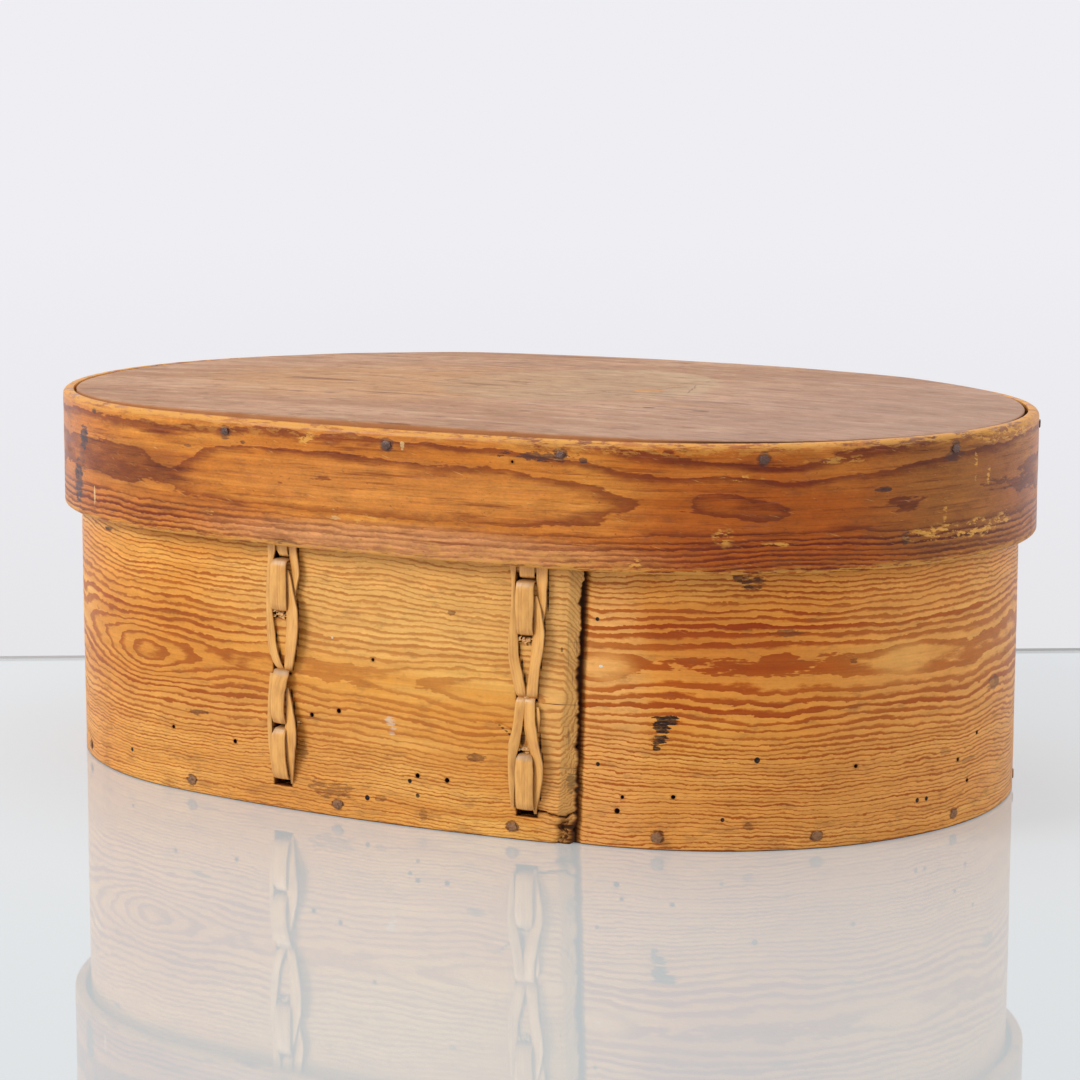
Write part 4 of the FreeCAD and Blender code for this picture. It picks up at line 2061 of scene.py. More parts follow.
CRACK = ((75.0, 12.4), (79.5, 11.6), (85.0, 10.8), (89.0, 10.5), (91.0, 11.2), (95.0, 13.6))
CRACK_TOP = 14.0 * MM
CRACK_ROW = 0.5 * MM
BITES = (
    (93.5, 1.2, 1.6), (67.0, 5.5, 1.5), (60.0, 1.0, 0.9), (38.0, 1.4, 1.2), (6.5, 2.0, 2.2),
    (0.0, 2.6, 2.6),
)
SPLINTER = ((65, 40.6, 0.0), (64.5, 43.6, 0.3), (56.0, 47.2, 1.7))


class SideStrip(BentStrip):
    """Side of the box, with its cracked and splintered corner."""

    def row_step(self, level: float) -> float:
        """Largest height of a row of faces, small beside the crack."""
        return CRACK_ROW if level < CRACK_TOP else self.row_height

    def ragged_end(self, level: float) -> float:
        """How far the outer end lies beyond its plain line, with pieces broken out of it.

        Args:
            level: Height of the place.

        Returns:
            The distance along the outline.
        """
        bitten = sum(
            depth * math.exp(-(((level / MM - middle) / half) ** 2))
            for middle, half, depth in BITES
        )
        return super().ragged_end(level) - bitten * MM

    def carve(self, run: float, level: float) -> float:
        """Extra inset of the crack, the broken corner and the chiselled end.

        Args:
            run: Distance along the strip.
            level: Height of the place.

        Returns:
            The inset.
        """
        if run > self.fine_reach:
            return 0.0
        station, height = (self.end - run) / MM, level / MM
        inset = 0.0
        for first, second in zip(CRACK, CRACK[1:]):
            if first[0] <= station <= second[0]:
                line = between(first[1], second[1], (station - first[0]) / (second[0] - first[0]))
                line += 0.35 * ripple(41, station / 2.5)
                inset += 1.6 * math.exp(-(((height - line) / 0.42) ** 2))
        inset += 1.0 * math.exp(-(((station - 88.0) / 2.0) ** 2) - ((height - 6.0) / 1.5) ** 2)
        corner = smooth(84, 90, station) * smooth(10.5, 8.0, height)
        chips = abs(ripple(42, station / 3, height / 2.6)) + 0.5 * abs(ripple(43, station, height))
        inset += corner * min(2.4 * chips, 1.2)
        chiselled = smooth(self.end / MM - 9.5, self.end / MM - 5.5, station)
        inset += chiselled * 0.45 * (0.5 + 0.5 * ripple(44, station / 3, height / 3.2))
        return inset * MM

    def extras(self, shell: Shell) -> None:
        """Adds a splinter that stands off beside the right row of lacing.

        Args:
            shell: Mesh under construction.
        """
        corners = []
        for station, level, out in SPLINTER:
            for depth in (0.35, -0.15):
                place = self.oval.point(station * MM, -(out + depth) * MM, level * MM)
                corners.append(shell.point(place, (station * MM, level * MM)))
        low, low_back, high, high_back, tip, tip_back = corners
        shell.face([low, high, tip])
        shell.face([low_back, tip_back, high_back])
        shell.band([low, high, tip, low], [low_back, high_back, tip_back, low_back])

    def darkening(self, run: float, level: float) -> float:
        """Painted shade on the outer face, also in the crack and the broken corner, and a painted
        contact shadow along the foot.

        Args:
            run: Distance along the strip.
            level: Height of the place.

        Returns:
            The painted shade, from 0 to 1.
        """
        # Painted shade in the crack and the broken corner, by the depth of the cut.
        broken = min(self.carve(run, level) / (1.6 * MM), 1.0) if level < 15 * MM else 0.0
        # Painted contact shadow along the foot, where the box stands on the table.
        foot = 0.85 * smooth(0.8 * MM, 0.1 * MM, level - self.bottom)
        return max(super().darkening(run, level), broken**1.5, foot)


BASE_PEGS = (-173, -88, -13, 65, 123, 185, 253, 332)
BASE_PEG_LEVEL = 5.2 * MM
LID_PEGS = (-265, -62, 15, 88, 165, 249, 345)
LID_PEG_LEVEL = 151.0 * MM
SIDE_END = 93.0
BACK = -SIDE_LOOP / MM


def marked(
    rows: Iterable[tuple[float, float, float, float, Colour, float, float]],
    end: float = math.inf,
) -> tuple[Mark, ...]:
    """Marks from rows of place and half sizes in millimetres, colour, strength and raggedness.

    Args:
        rows: One row for each mark.
        end: Station of the outer end, beyond which the grain's coordinates go on.

    Returns:
        The marks.
    """
    return tuple(
        Mark(((along + BACK * (along > end)) * MM, up * MM), (wide * MM, high * MM), *look)
        for along, up, wide, high, *look in rows
    )


def side_marks() -> tuple[Mark, ...]:
    """Stains, knots and specks on the side strip, painted shadows beside the lacing and the
    splinter, and painted shade in the worm holes and round the pegs.

    Returns:
        The marks.
    """
    soot_and_shadow, brown, white = srgb(34, 17, 12), srgb(104, 56, 28), srgb(236, 228, 214)
    black = srgb(18, 9, 8)
    rows = [
        (126, 50.5, 5.0, 1.9, soot_and_shadow, 0.95, 1.5), (124, 47.5, 3.4, 2.2, soot_and_shadow, 0.95, 1.9),
        (123, 43.0, 3.0, 2.4, soot_and_shadow, 0.9, 2.4), (122.5, 39.5, 1.4, 0.9, soot_and_shadow, 0.85, 1.0),
        (153, 105.5, 2.0, 1.6, brown, 0.95, 1.4), (156.5, 103, 2.4, 1.8, soot_and_shadow, 0.95, 1.9),
        (160, 105.5, 1.6, 1.6, brown, 0.9, 1.6), (158, 104, 4.6, 3.0, brown, 0.8, 2.2),
        (283, 52.5, 7.0, 2.6, brown, 0.65, 1.2), (262, 25.5, 5.0, 1.5, brown, 0.45, 1.4),
        (247, 31, 4.0, 1.3, brown, 0.4, 1.4), (199.5, 72, 1.8, 1.0, brown, 0.7, 1.2),
        (172, 84, 6.0, 1.2, brown, 0.6, 1.8), (158, 9.7, 2.2, 1.2, brown, 0.6, 1.4),
        (-143, 103, 3.4, 1.0, soot_and_shadow, 0.8, 1.2), (-84, 34, 4.6, 1.2, brown, 0.75, 1.8),
        (-16, 11, 8.0, 3.0, brown, 0.5, 2.6), (7, 10, 2.4, 1.4, brown, 0.5, 1.8),
        (26.5, 6, 1.6, 2.6, brown, 0.4, 1.8), (50, 31, 3.6, 1.6, brown, 0.7, 1.9),
        (39, 86.7, 1.4, 1.0, brown, 0.6, 1.4), (-30, 25, 2.6, 3.6, brown, 0.5, 2.2),
        # The next four: painted shadow under the splinter.
        (63.9, 41.4, 0.8, 0.5, soot_and_shadow, 0.9, 0.2), (62.6, 42.5, 0.8, 0.5, soot_and_shadow, 0.9, 0.2),
        (61.3, 43.7, 0.8, 0.45, soot_and_shadow, 0.9, 0.2), (60.2, 44.8, 0.6, 0.4, soot_and_shadow, 0.8, 0.2),
        (12, 41.5, 2.0, 2.0, white, 0.4, 3.0), (13, 37.5, 1.6, 1.4, white, 0.35, 3.0),
        (-15, 72, 0.5, 0.5, white, 0.8, 0.2), (100, 70, 0.8, 0.5, white, 0.95, 0.2),
        (88.5, 24, 1.5, 4.5, soot_and_shadow, 0.8, 1.6), (85.2, 75.8, 0.5, 1.0, soot_and_shadow, 0.7, 0.4),
        (87, 54.5, 10.5, 0.22, brown, 0.8, 0.15), (93, 51.3, 3.2, 0.22, brown, 0.8, 0.15),
        (91.5, 78.8, 5.5, 0.2, brown, 0.6, 0.15), (87, 29.8, 7.2, 0.22, brown, 0.7, 0.15),
    ]
    # Painted shadows: thin dark lines on the right of the strands and loops, away from the light.
    shades = (
        (-31.0, 103, 0.5, 6.5), (-31.4, 93, 0.45, 3.5), (-31.5, 81, 0.5, 5.5),
        (-31.6, 71, 0.5, 5.0), (-32.7, 64, 0.5, 3.5), (-33.9, 59, 0.4, 2.6), (-34.9, 47, 0.6, 2.6),
        (-33.7, 41.5, 0.65, 3.2), (-32.9, 35.5, 0.6, 3.6), (-32.6, 29, 0.5, 3.8),
        (-33.4, 22.5, 0.45, 3.6), (-34.4, 16.5, 0.4, 3.2), (-43.6, 76, 0.5, 3.5),
        (-42.3, 69, 0.55, 3.5), (-40.5, 62, 0.6, 3.5), (79.6, 99, 0.4, 9.0), (78.2, 83, 0.45, 6.5),
        (76.8, 73, 0.5, 6.0), (75.7, 64, 0.45, 6.0), (76.5, 38, 0.5, 5.0), (77.4, 29.5, 0.55, 5.5),
        (76.6, 21, 0.45, 5.0), (75.2, 16, 0.4, 3.6), (67.8, 74, 0.5, 3.0), (69.0, 68, 0.5, 3.0),
        (70.1, 62.5, 0.5, 3.0), (70.2, 47.5, 0.9, 4.0), (69.1, 41, 1.2, 4.0),
    )
    rows += [(*shade, soot_and_shadow, 0.9, 0.3) for shade in shades]
    # Black discs on the worm holes: painted shade in the pits.
    rows += [
        (hole.station / MM, hole.level / MM, hole.radius / MM, hole.radius / MM, black, 1.2, 0.1)
        for hole in WORM_HOLES
    ]
    # A darker ring round each peg: painted shadow of the gap round the peg, with stain.
    rows += [(s, BASE_PEG_LEVEL / MM, 2.8, 2.5, brown, 0.8, 0.7) for s in BASE_PEGS]
    return marked(rows, SIDE_END)


def side_grounds() -> tuple[Mark, ...]:
    """Large deeper and paler areas of the side strip's varnish, some of which also carry painted
    light and shade: deeper on the right, where less light falls.

    Returns:
        The marks.
    """
    deep, tan = srgb(242, 158, 68), srgb(243, 170, 94)
    rows = (
        (165, 76, 72, 36, deep, 0.8, 0.6), (136, 87, 26, 9, srgb(208, 122, 42), 0.6, 1.0),
        (150, 75, 34, 8, srgb(214, 128, 48), 0.5, 1.0),
        (84, 60, 13, 60, srgb(250, 190, 114), 0.6, 0.4),
        (221, 72, 15, 7, srgb(252, 188, 96), 0.65, 1.6), (265, 62, 70, 60, tan, 0.5, 0.6),
        (103, 50, 16, 60, srgb(248, 184, 110), 0.7, 0.6),
        (-108, 55, 70, 26, srgb(220, 140, 50), 0.75, 0.6),
        (-60, 20, 120, 30, srgb(226, 158, 82), 0.5, 0.5),
        (20, 88, 85, 26, srgb(244, 190, 112), 0.6, 0.5),
        (150, 15, 130, 26, srgb(238, 164, 86), 0.6, 0.5), (-400, 66, 160, 50, deep, 0.4, 0.8),
        (-680, 50, 100, 40, tan, 0.5, 0.8),
    )
    return marked(rows, SIDE_END)


def side_soaks_and_shade() -> tuple[Mark, ...]:
    """Areas where the latewood of the side strip is darker: painted shade on the right of the
    front, where less light falls, the painted shadow of the lap's outer end, and latewood that
    soaked up more varnish.

    Returns:
        The marks.
    """
    rows = (
        # The next three: painted shade on the right of the front, which gets less light.
        (152, 72, 54, 22, (0.88, 0.60, 0.12), 0.95, 0.8),
        (165, 95, 28, 8, (0.86, 0.68, 0.30), 0.8, 0.9),
        (160, 35, 100, 26, (0.94, 0.78, 0.36), 0.6, 0.8),
        # Painted shadow of the lap's outer end.
        (104, 50, 12, 70, (0.94, 0.84, 0.68), 0.6, 0.3),
        (-112, 56, 60, 18, (0.92, 0.84, 0.70), 0.7, 0.6),
        (-450, 60, 120, 30, (0.88, 0.76, 0.50), 0.8, 0.8),
    )
    return marked(rows, SIDE_END)


def swells(*rows: tuple[float, float, float, float, float]) -> tuple[Swell, ...]:
    """Swells of the rings.

    Args:
        rows: Place and half sizes in millimetres and number of rings of each swell.

    Returns:
        The swells.
    """
    return tuple(
        Swell((along * MM, up * MM), (wide * MM, high * MM), rings)
        for along, up, wide, high, rings in rows
    )


SIDE_FIGURE = Figure(
    heart=57 * MM,
    rise=-0.0135,
    depth=7 * MM,
    depth_behind=14 * MM,
    spacing_below=2.95 * MM,
    spacing_above=2.75 * MM,
    crowd_from=26 * MM,
    crowding=400.0,
    crowd_above_from=24 * MM,
    crowding_above=130.0,
    tighter_behind=0.16,
    drift=0.42,
    drift_length=0.08,
    sway=2.8 * MM,
    wave=2.8 * MM,
    ragged=0.9 * MM,
    wobble=0.42,
    feather=0.2,
    first=40.78,
    swells=swells(
        (-111, 54, 26, 10, -2.5), (-195, 56, 42, 15, 2.4), (-200, 98, 90, 26, -3.0),
        (-190, 28, 70, 14, 0.8), (75, 57, 55, 16, -1.9), (60, 100, 80, 24, 0.6),
        (BACK + 150, 70, 46, 12, 0.12), (BACK + 228, 73, 20, 9, -0.8),
        (BACK + 320, 86, 50, 18, -1.6), (BACK + 320, 60, 50, 14, 1.2),
        (BACK + 98, 69, 14, 9, -0.6), (BACK + 190, 95, 60, 14, 0.5),
        (BACK + 130, 47, 15, 12, 0.35), (BACK + 172, 50, 17, 14, -0.4),
        (BACK + 212, 47, 15, 12, 0.3), (BACK + 258, 50, 17, 14, -0.4), (-330, 58, 60, 14, -2.6),
        (-430, 60, 50, 14, -2.0), (-520, 62, 40, 12, 1.4), (-640, 64, 60, 14, -2.4),
        (-740, 66, 50, 13, -1.6),
    ),
    seed=1.0,
)

SIDE_PINE = StripWood(
    name="side_pine_varnished",
    early=srgb(236, 158, 64),
    pale=srgb(251, 191, 100),
    late_tint=(0.53, 0.27, 0.08),
    figure=SIDE_FIGURE,
    late_edge=(0.44, 0.72),
    thin_from=(26 * MM, 44 * MM),
    thinness=0.08,
    wide_near=0.15,
    contrast=1.0,
    roughness=0.44,
    coat=0.1,
    grime=srgb(156, 100, 56),
    foot=0.0,
    grounds=side_grounds(),
    soaks_and_shade=side_soaks_and_shade(),
    fades=(
        ((25 * MM, 98 * MM), (90 * MM, 24 * MM), 0.25),
        ((30 * MM, 56 * MM), (75 * MM, 34 * MM), 0.3),
        ((-20 * MM, 8 * MM), (200 * MM, 20 * MM), 0.15),
        (((BACK + 104) * MM, 69.5 * MM), (11 * MM, 6 * MM), 0.8),
        (((BACK + 222) * MM, 70 * MM), (14 * MM, 7 * MM), 0.7),
    ),
    marks=side_marks(),
    bevel=82.9 * MM,
    bevel_lean=0.042,
)


def lid_marks() -> tuple[Mark, ...]:
    """Ink-dark blotches and smears on the lid's strip, with a darker ring round each peg that is
    painted shadow of its gap and smear.

    Returns:
        The marks.
    """
    ink, smear = srgb(58, 48, 58), srgb(72, 46, 44)
    pale = srgb(236, 198, 140)
    rows = (
        (-155, 141, 4.4, 5.0, ink, 0.92, 1.0), (-163, 122, 5.2, 8.5, ink, 0.85, 1.2),
        (-158, 131.5, 3.0, 5.0, ink, 0.4, 1.6), (-144.5, 117.5, 0.8, 4.2, pale, 0.8, 0.6),
        (248, 148.5, 5.0, 1.8, smear, 0.6, 1.8), (-143.5, 153, 1.8, 1.2, smear, 0.8, 1.0),
        (-53, 147.5, 1.4, 0.7, smear, 0.8, 0.8), (-82, 144, 1.8, 0.6, smear, 0.5, 0.8),
        (80, 150.2, 12.0, 1.6, smear, 0.8, 2.0), (97, 149.6, 1.8, 1.1, smear, 0.8, 1.0),
        (213, 138, 4.2, 1.1, smear, 0.85, 0.8), (224, 119, 2.0, 2.4, smear, 0.7, 1.4),
        (-32, 109.5, 6.0, 1.2, smear, 0.55, 1.6), (22, 151, 0.9, 2.2, pale, 0.7, 1.2),
        (-8, 121.0, 2.6, 0.8, pale, 0.5, 1.4),
    )
    # A darker ring round each peg: painted shadow of the gap round the peg, with smear.
    rows += tuple((along, LID_PEG_LEVEL / MM, 2.9, 2.9, smear, 0.6, 0.9) for along in LID_PEGS)
    return marked(rows)


def lid_flecks() -> tuple[Mark, ...]:
    """Worn yellow scratches on the lid's strip.

    Returns:
        The marks.
    """
    gold = srgb(236, 170, 78)
    rows = (
        (240, 119.5, 16, 3.0, gold, 1.0, 0.8), (262, 119.0, 14, 3.6, gold, 1.0, 0.8),
        (283, 120.0, 7, 2.6, gold, 0.9, 0.8), (244, 129, 1.1, 6.5, gold, 0.7, 0.6),
        (262, 144, 1.0, 6.5, gold, 0.8, 0.5), (271, 139.5, 1.3, 4.0, gold, 0.9, 0.5),
        (157, 144, 7.5, 1.2, gold, 0.9, 0.5), (290, 154, 30, 3.0, gold, 0.9, 0.6),
        (-21.5, 150.5, 3.4, 3.4, gold, 0.9, 0.8), (3, 121.5, 9.0, 1.6, gold, 0.8, 0.8),
        (150, 122, 4.0, 3.4, gold, 0.8, 0.8), (117, 111.5, 2.6, 2.2, gold, 0.9, 0.8),
        (60, 112, 60, 3, gold, 0.3, 0.8), (-60, 153, 60, 2.5, gold, 0.3, 0.8),
        (120, 153.5, 60, 1.8, gold, 0.35, 0.8), (196, 150, 14, 1.4, gold, 0.6, 0.8),
        (170, 119, 7, 0.9, gold, 0.8, 0.5), (-70, 118, 6, 0.9, gold, 0.7, 0.6),
    )
    return marked(rows)


def lid_grounds() -> tuple[Mark, ...]:
    """Large deeper areas of the lid's varnish.

    Returns:
        The marks.
    """
    red, dirt = srgb(176, 80, 4), srgb(156, 94, 36)
    return marked(
        (
            (178, 128, 70, 36, red, 0.85, 0.6), (265, 136, 60, 34, dirt, 0.85, 0.7),
            (-116, 134, 34, 10, srgb(160, 84, 28), 0.85, 0.6),
            (-90, 116, 70, 9, srgb(196, 108, 40), 0.6, 0.6),
            (110, 120, 50, 12, srgb(190, 98, 30), 0.4, 0.5),
            (20, 113, 95, 7, srgb(226, 158, 104), 0.75, 0.5),
            (20, 134, 80, 10, srgb(220, 142, 66), 0.5, 0.5), (-360, 130, 160, 40, red, 0.45, 0.8),
            (420, 130, 140, 40, red, 0.45, 0.8),
        )
    )


LID_FIGURE = Figure(
    heart=134 * MM,
    rise=0.0,
    depth=18 * MM,
    depth_behind=18 * MM,
    spacing_below=5.6 * MM,
    spacing_above=6.2 * MM,
    crowd_from=9 * MM,
    crowding=270.0,
    crowd_above_from=30 * MM,
    crowding_above=0.0,
    tighter_behind=0.0,
    drift=0.2,
    drift_length=0.09,
    sway=1.2 * MM,
    wave=2.2 * MM,
    ragged=0.9 * MM,
    wobble=0.24,
    feather=0.13,
    first=40.8,
    swells=swells(
        (-45, 134, 34, 16, -0.62), (5, 134, 34, 16, -0.58), (60, 134, 34, 16, -0.62),
        (-92, 139, 13, 7, 0.5), (124, 133, 16, 14, 0.42), (158, 132.5, 14, 6, 0.08),
        (146, 127, 12, 4, 0.25), (172, 139, 14, 5, 0.25), (152, 134, 11, 4, -0.38),
        (167, 131, 8, 3, -0.22), (165, 150, 62, 8, 1.3), (165, 118, 60, 6, 0.6),
        (198, 134, 18, 16, 0.40), (262, 134, 50, 14, 0.30), (-140, 138, 40, 8, -0.10),
        (180, 107, 80, 9, 2.2), (-260, 134, 50, 14, -0.7), (-420, 134, 80, 14, 0.7),
        (430, 134, 80, 14, -0.7),
    ),
    seed=2.0,
)

LID_PINE = StripWood(
    name="lid_pine_varnished",
    early=srgb(206, 120, 38),
    pale=srgb(232, 156, 66),
    late_tint=(0.33, 0.13, 0.05),
    figure=LID_FIGURE,
    late_edge=(0.46, 0.9),
    thin_from=(6 * MM, 24 * MM),
    thinness=-0.2,
    wide_near=0.0,
    contrast=1.8,
    roughness=0.38,
    coat=0.14,
    scuffs=0.55,
    grime=srgb(130, 74, 40),
    foot=107.5 * MM,
    grounds=lid_grounds(),
    fades=(((15 * MM, 114 * MM), (100 * MM, 10 * MM), 0.55),),
    streaks=0.7,
    pores=0.5,
    marks=lid_marks(),
    flecks=lid_flecks(),
    worn_rims=(107.5 * MM, 156.5 * MM),
)

LID_TOP_WOOD = BoardWood(
    name="lid_top_handled",
    ground=srgb(170, 124, 92),
    light=srgb(200, 158, 128),
    dark=srgb(108, 62, 38),
    golden=srgb(200, 148, 96),
    stain=srgb(184, 148, 114),
    stain_rim=srgb(206, 176, 140),
)

ROOT = RootFibre(
    name="split_root",
    light=srgb(248, 184, 98),
    dark=srgb(188, 116, 46),
    sheen_and_dust=srgb(198, 164, 128),
    dull=srgb(104, 68, 42),
)
BASE_PEG_WOOD = PegWood("base_peg_wood", srgb(158, 110, 70), srgb(84, 54, 38), 0.6)
LID_PEG_WOOD = PegWood("lid_peg_wood", srgb(104, 66, 50), srgb(46, 30, 30), 0.38)


@dataclass
class Box:
    """Lower body: side strip, bottom board, pegs and the two laced rows."""

    levels: tuple[float, ...] = tuple((125.0 - 22.7 * step) * MM for step in range(6))
    left_station: float = -39.5 * MM
    right_station: float = 71.0 * MM
    left_depth: float = 6.68 * MM
    right_depth: float = 5.82 * MM
    back_pegs: int = 8

    def build(self) -> list[Piece]:
        """Builds all pieces of the box.

        Returns:
            The pieces.
        """
        low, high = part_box("side_band")
        oval = Oval(high.x, high.y, high.y - BOW)
        strip = SideStrip(
            name="side_strip",
            node="side_band",
            slot="side_pine",
            body=Body.BOX,
            oval=oval,
            bottom=low.z,
            top=high.z,
            thickness=5.0 * MM,
            end=SIDE_END * MM,
            lap=150.0 * MM,
            ramp=100.0 * MM,
            outer_end=2.8 * MM,
            bevel_length=6.8 * MM,
            bevel_depth=1.5 * MM,
            inner_end=1.5 * MM,
            ledge=1.7 * MM,
            foot_round=0.8 * MM,
            rim_round=0.8 * MM,
            slots=tuple(
                Slot(station, level)
                for station in (self.left_station, self.right_station)
                for level in self.levels
            ),
            slot_half=(4.5 * MM, 2.0 * MM),
            worm_holes=WORM_HOLES,
            raggedness=1.0 * MM,
            end_lean=(-4.1, 1.3),
            crevice_depth=1.5 * MM,
            dents=0.35 * MM,
        )
        wood = [strip.build(SIDE_PINE.material()), self.bottom(), self.pegs(oval)]
        return wood + self.lacing(oval)

    def bottom(self) -> Piece:
        """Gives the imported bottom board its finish.

        Returns:
            The board.
        """
        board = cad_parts["base_board"]
        board.data.materials.clear()
        board.data.materials.append(bare_pine())
        return board

    def pegs(self, oval: Oval) -> Piece:
        """Builds the pegs of the bottom board.

        Args:
            oval: Outline of the side strip.

        Returns:
            The pegs.
        """
        row = Pegs(
            name="base_peg_heads",
            node="base_pegs",
            slot="light_peg",
            body=Body.BOX,
            oval=oval,
            level=BASE_PEG_LEVEL,
            front=BASE_PEGS,
            back=self.back_pegs,
            radius=2.3 * MM,
            proud=0.25 * MM,
            seed=50,
        )
        return row.build(BASE_PEG_WOOD.material())

    def lacing(self, oval: Oval) -> list[Piece]:
        """Builds the straps and strands of the two laced rows.

        Args:
            oval: Outline of the side strip.

        Returns:
            The straps and the strands.
        """
        inside, flat, loop = Course.INSIDE, Course.FLAT, Course.LOOP
        root = ROOT.material()
        left = LacedRow(
            side="left",
            body=Body.BOX,
            oval=oval,
            station=self.left_station,
            depth=self.left_depth,
            levels=self.levels,
            courses=(inside, flat, loop, inside, loop, loop, inside),
            strands=LEFT_STRANDS,
            shape=LEFT_SHAPE,
            frays=((78.6 * MM, 0.2 * MM, 3.4 * MM, 18), (36.0 * MM, 8.4 * MM, 0.3 * MM, 2)),
        )
        right = replace(
            left,
            side="right",
            station=self.right_station,
            depth=self.right_depth,
            courses=(inside, flat, loop, inside, inside, loop, inside),
            strands=RIGHT_STRANDS,
            shape=RIGHT_SHAPE,
            frays=(
                (78.3 * MM, 0.0, 3.2 * MM, 16), (56.3 * MM, 0.3 * MM, 3.0 * MM, 8),
                (35.6 * MM, 0.0, 3.2 * MM, 15),
            ),
        )
        return [build(root) for row in (left, right) for build in (row.strap, row.side_strands)]


@dataclass
class Lid:
    """Lift-off lid: strip, top board, pegs and the lace of its joint."""

    bow: float = BOW
    thickness: float = 4.6 * MM
    levels: tuple[float, ...] = (137.5 * MM, 118.5 * MM)
    back_pegs: int = 6

    def build(self) -> list[Piece]:
        """Builds all pieces of the lid.

        Returns:
            The pieces.
        """
        low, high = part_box("lid_band")
        oval = Oval(high.x, high.y, high.y - self.bow)
        joint = oval.perimeter / 2
        strip = BentStrip(
            name="lid_strip",
            node="lid_band",
            slot="lid_pine",
            body=Body.LID,
            oval=oval,
            bottom=low.z,
            top=high.z,
            thickness=self.thickness,
            end=joint + 60.0 * MM,
            lap=120.0 * MM,
            ramp=60.0 * MM,
            outer_end=2.2 * MM,
            bevel_length=6.0 * MM,
            bevel_depth=0.9 * MM,
            inner_end=1.4 * MM,
            ledge=0.0,
            foot_round=1.5 * MM,
            rim_round=2.4 * MM,
            slots=tuple(Slot(joint, level) for level in self.levels),
            slot_half=(4.4 * MM, 1.8 * MM),
            worm_holes=(WormHole(68.5 * MM, 147.5 * MM, 0.6 * MM),),
            raggedness=0.5 * MM,
            end_lean=(-1.6, 1.2),
            dents=0.3 * MM,
        )
        lace = LacedRow(
            side="lid",
            body=Body.LID,
            oval=oval,
            station=joint,
            depth=self.thickness,
            levels=self.levels,
            courses=(Course.INSIDE, Course.FLAT, Course.INSIDE),
        )
        board_low, board_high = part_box("lid_board")
        board = LidBoard(
            oval=Oval(board_high.x, board_high.y, board_high.y - self.bow),
            bottom=board_low.z,
            rim=high.z,
            crown=board_high.z - high.z,
        )
        return [
            strip.build(LID_PINE.material()),
            board.build(LID_TOP_WOOD.material()),
            self.pegs(oval),
            lace.strap(ROOT.material()),
        ]

    def pegs(self, oval: Oval) -> Piece:
        """Builds the pegs of the lid's board.

        Args:
            oval: Outline of the lid's strip.

        Returns:
            The pegs.
        """
        row = Pegs(
            name="lid_peg_heads",
            node="lid_pegs",
            slot="dark_peg",
            body=Body.LID,
            oval=oval,
            level=LID_PEG_LEVEL,
            front=LID_PEGS,
            back=self.back_pegs,
            radius=2.2 * MM,
            proud=0.5 * MM,
            seed=60,
        )
        return row.build(LID_PEG_WOOD.material())


def bare_pine() -> Material:
    """Plain pine of the bottom board, with its grain along X.

    Returns:
        The material.
    """
    paint = Paint("bare_pine")
    face = Face(paint, paint.add("ShaderNodeTexCoord", None, None, "Object"))
    figure = Figure(
        heart=0.012,
        rise=0.0,
        depth=0.02,
        depth_behind=0.02,
        spacing_below=4.5 * MM,
        spacing_above=5.0 * MM,
        crowd_from=0.09,
        crowding=100.0,
        crowd_above_from=0.2,
        crowding_above=0.0,
        tighter_behind=0.0,
        drift=0.9,
        drift_length=0.2,
        sway=8 * MM,
        wave=2 * MM,
        ragged=0.3 * MM,
        wobble=0.3,
        feather=0.2,
        first=40.0,
        seed=4.0,
    )
    rings = figure.rings(face, figure.away(face))
    fibre = face.noise(0.05, 0.0012, 4.4, 3.0, 0.6)
    cloud = face.noise(0.08, 0.04, 4.9, 3.0)
    late = rings.fraction().ramp(0.6, 0.97)
    wood = paint.mix(srgb(206, 160, 108), srgb(164, 108, 62), late * 0.8 + fibre * 0.15)
    wood = paint.mix(wood, srgb(128, 92, 62), (cloud + 0.2).ramp(0.0, 1.0) * 0.35)
    normal = paint.bump(fibre * 0.5 + late * 0.3, 0.00015)
    paint.dress(Base_Color=wood, Roughness=cloud * 0.05 + 0.66, Normal=normal)
    return paint.material


def strand(*stops: tuple[float, float, float, float, float]) -> Rows:
    """Shape of a narrow split strand.

    Args:
        stops: Height, offset, half width and lift in millimetres, and tilt in degrees.

    Returns:
        The same rows in metres and degrees.
    """
    return tuple((*(size * MM for size in sizes), tilt) for *sizes, tilt in stops)


LEFT_SHAPE = (
    (104.6, 1.2, 2.7), (103.4, 2.0, 2.3), (102.0, 1.6, 3.0), (100.0, 0.7, 3.9), (92, 0.8, 4.1),
    (84, 0.7, 4.0), (80, 0.5, 3.6), (57.5, 0.9, 3.7), (55.5, 1.4, 3.9), (51, 0.6, 3.9),
    (47, 0.0, 3.4), (40, -0.2, 3.2), (36, 0.1, 3.2), (34.2, 0.9, 2.2), (32.8, 0.4, 2.9),
    (30, 0.0, 3.4), (24, 0.2, 3.4), (14, 0.7, 3.8),
)

RIGHT_SHAPE = (
    (110, 0.2, 3.4), (103, 0.3, 3.1), (100.5, 0.1, 3.7), (94, 0.1, 3.9), (82, 0.0, 3.4),
    (35, 0.0, 2.7), (32, 0.0, 3.5), (27, 0.1, 3.8), (14, 0.2, 3.7),
)

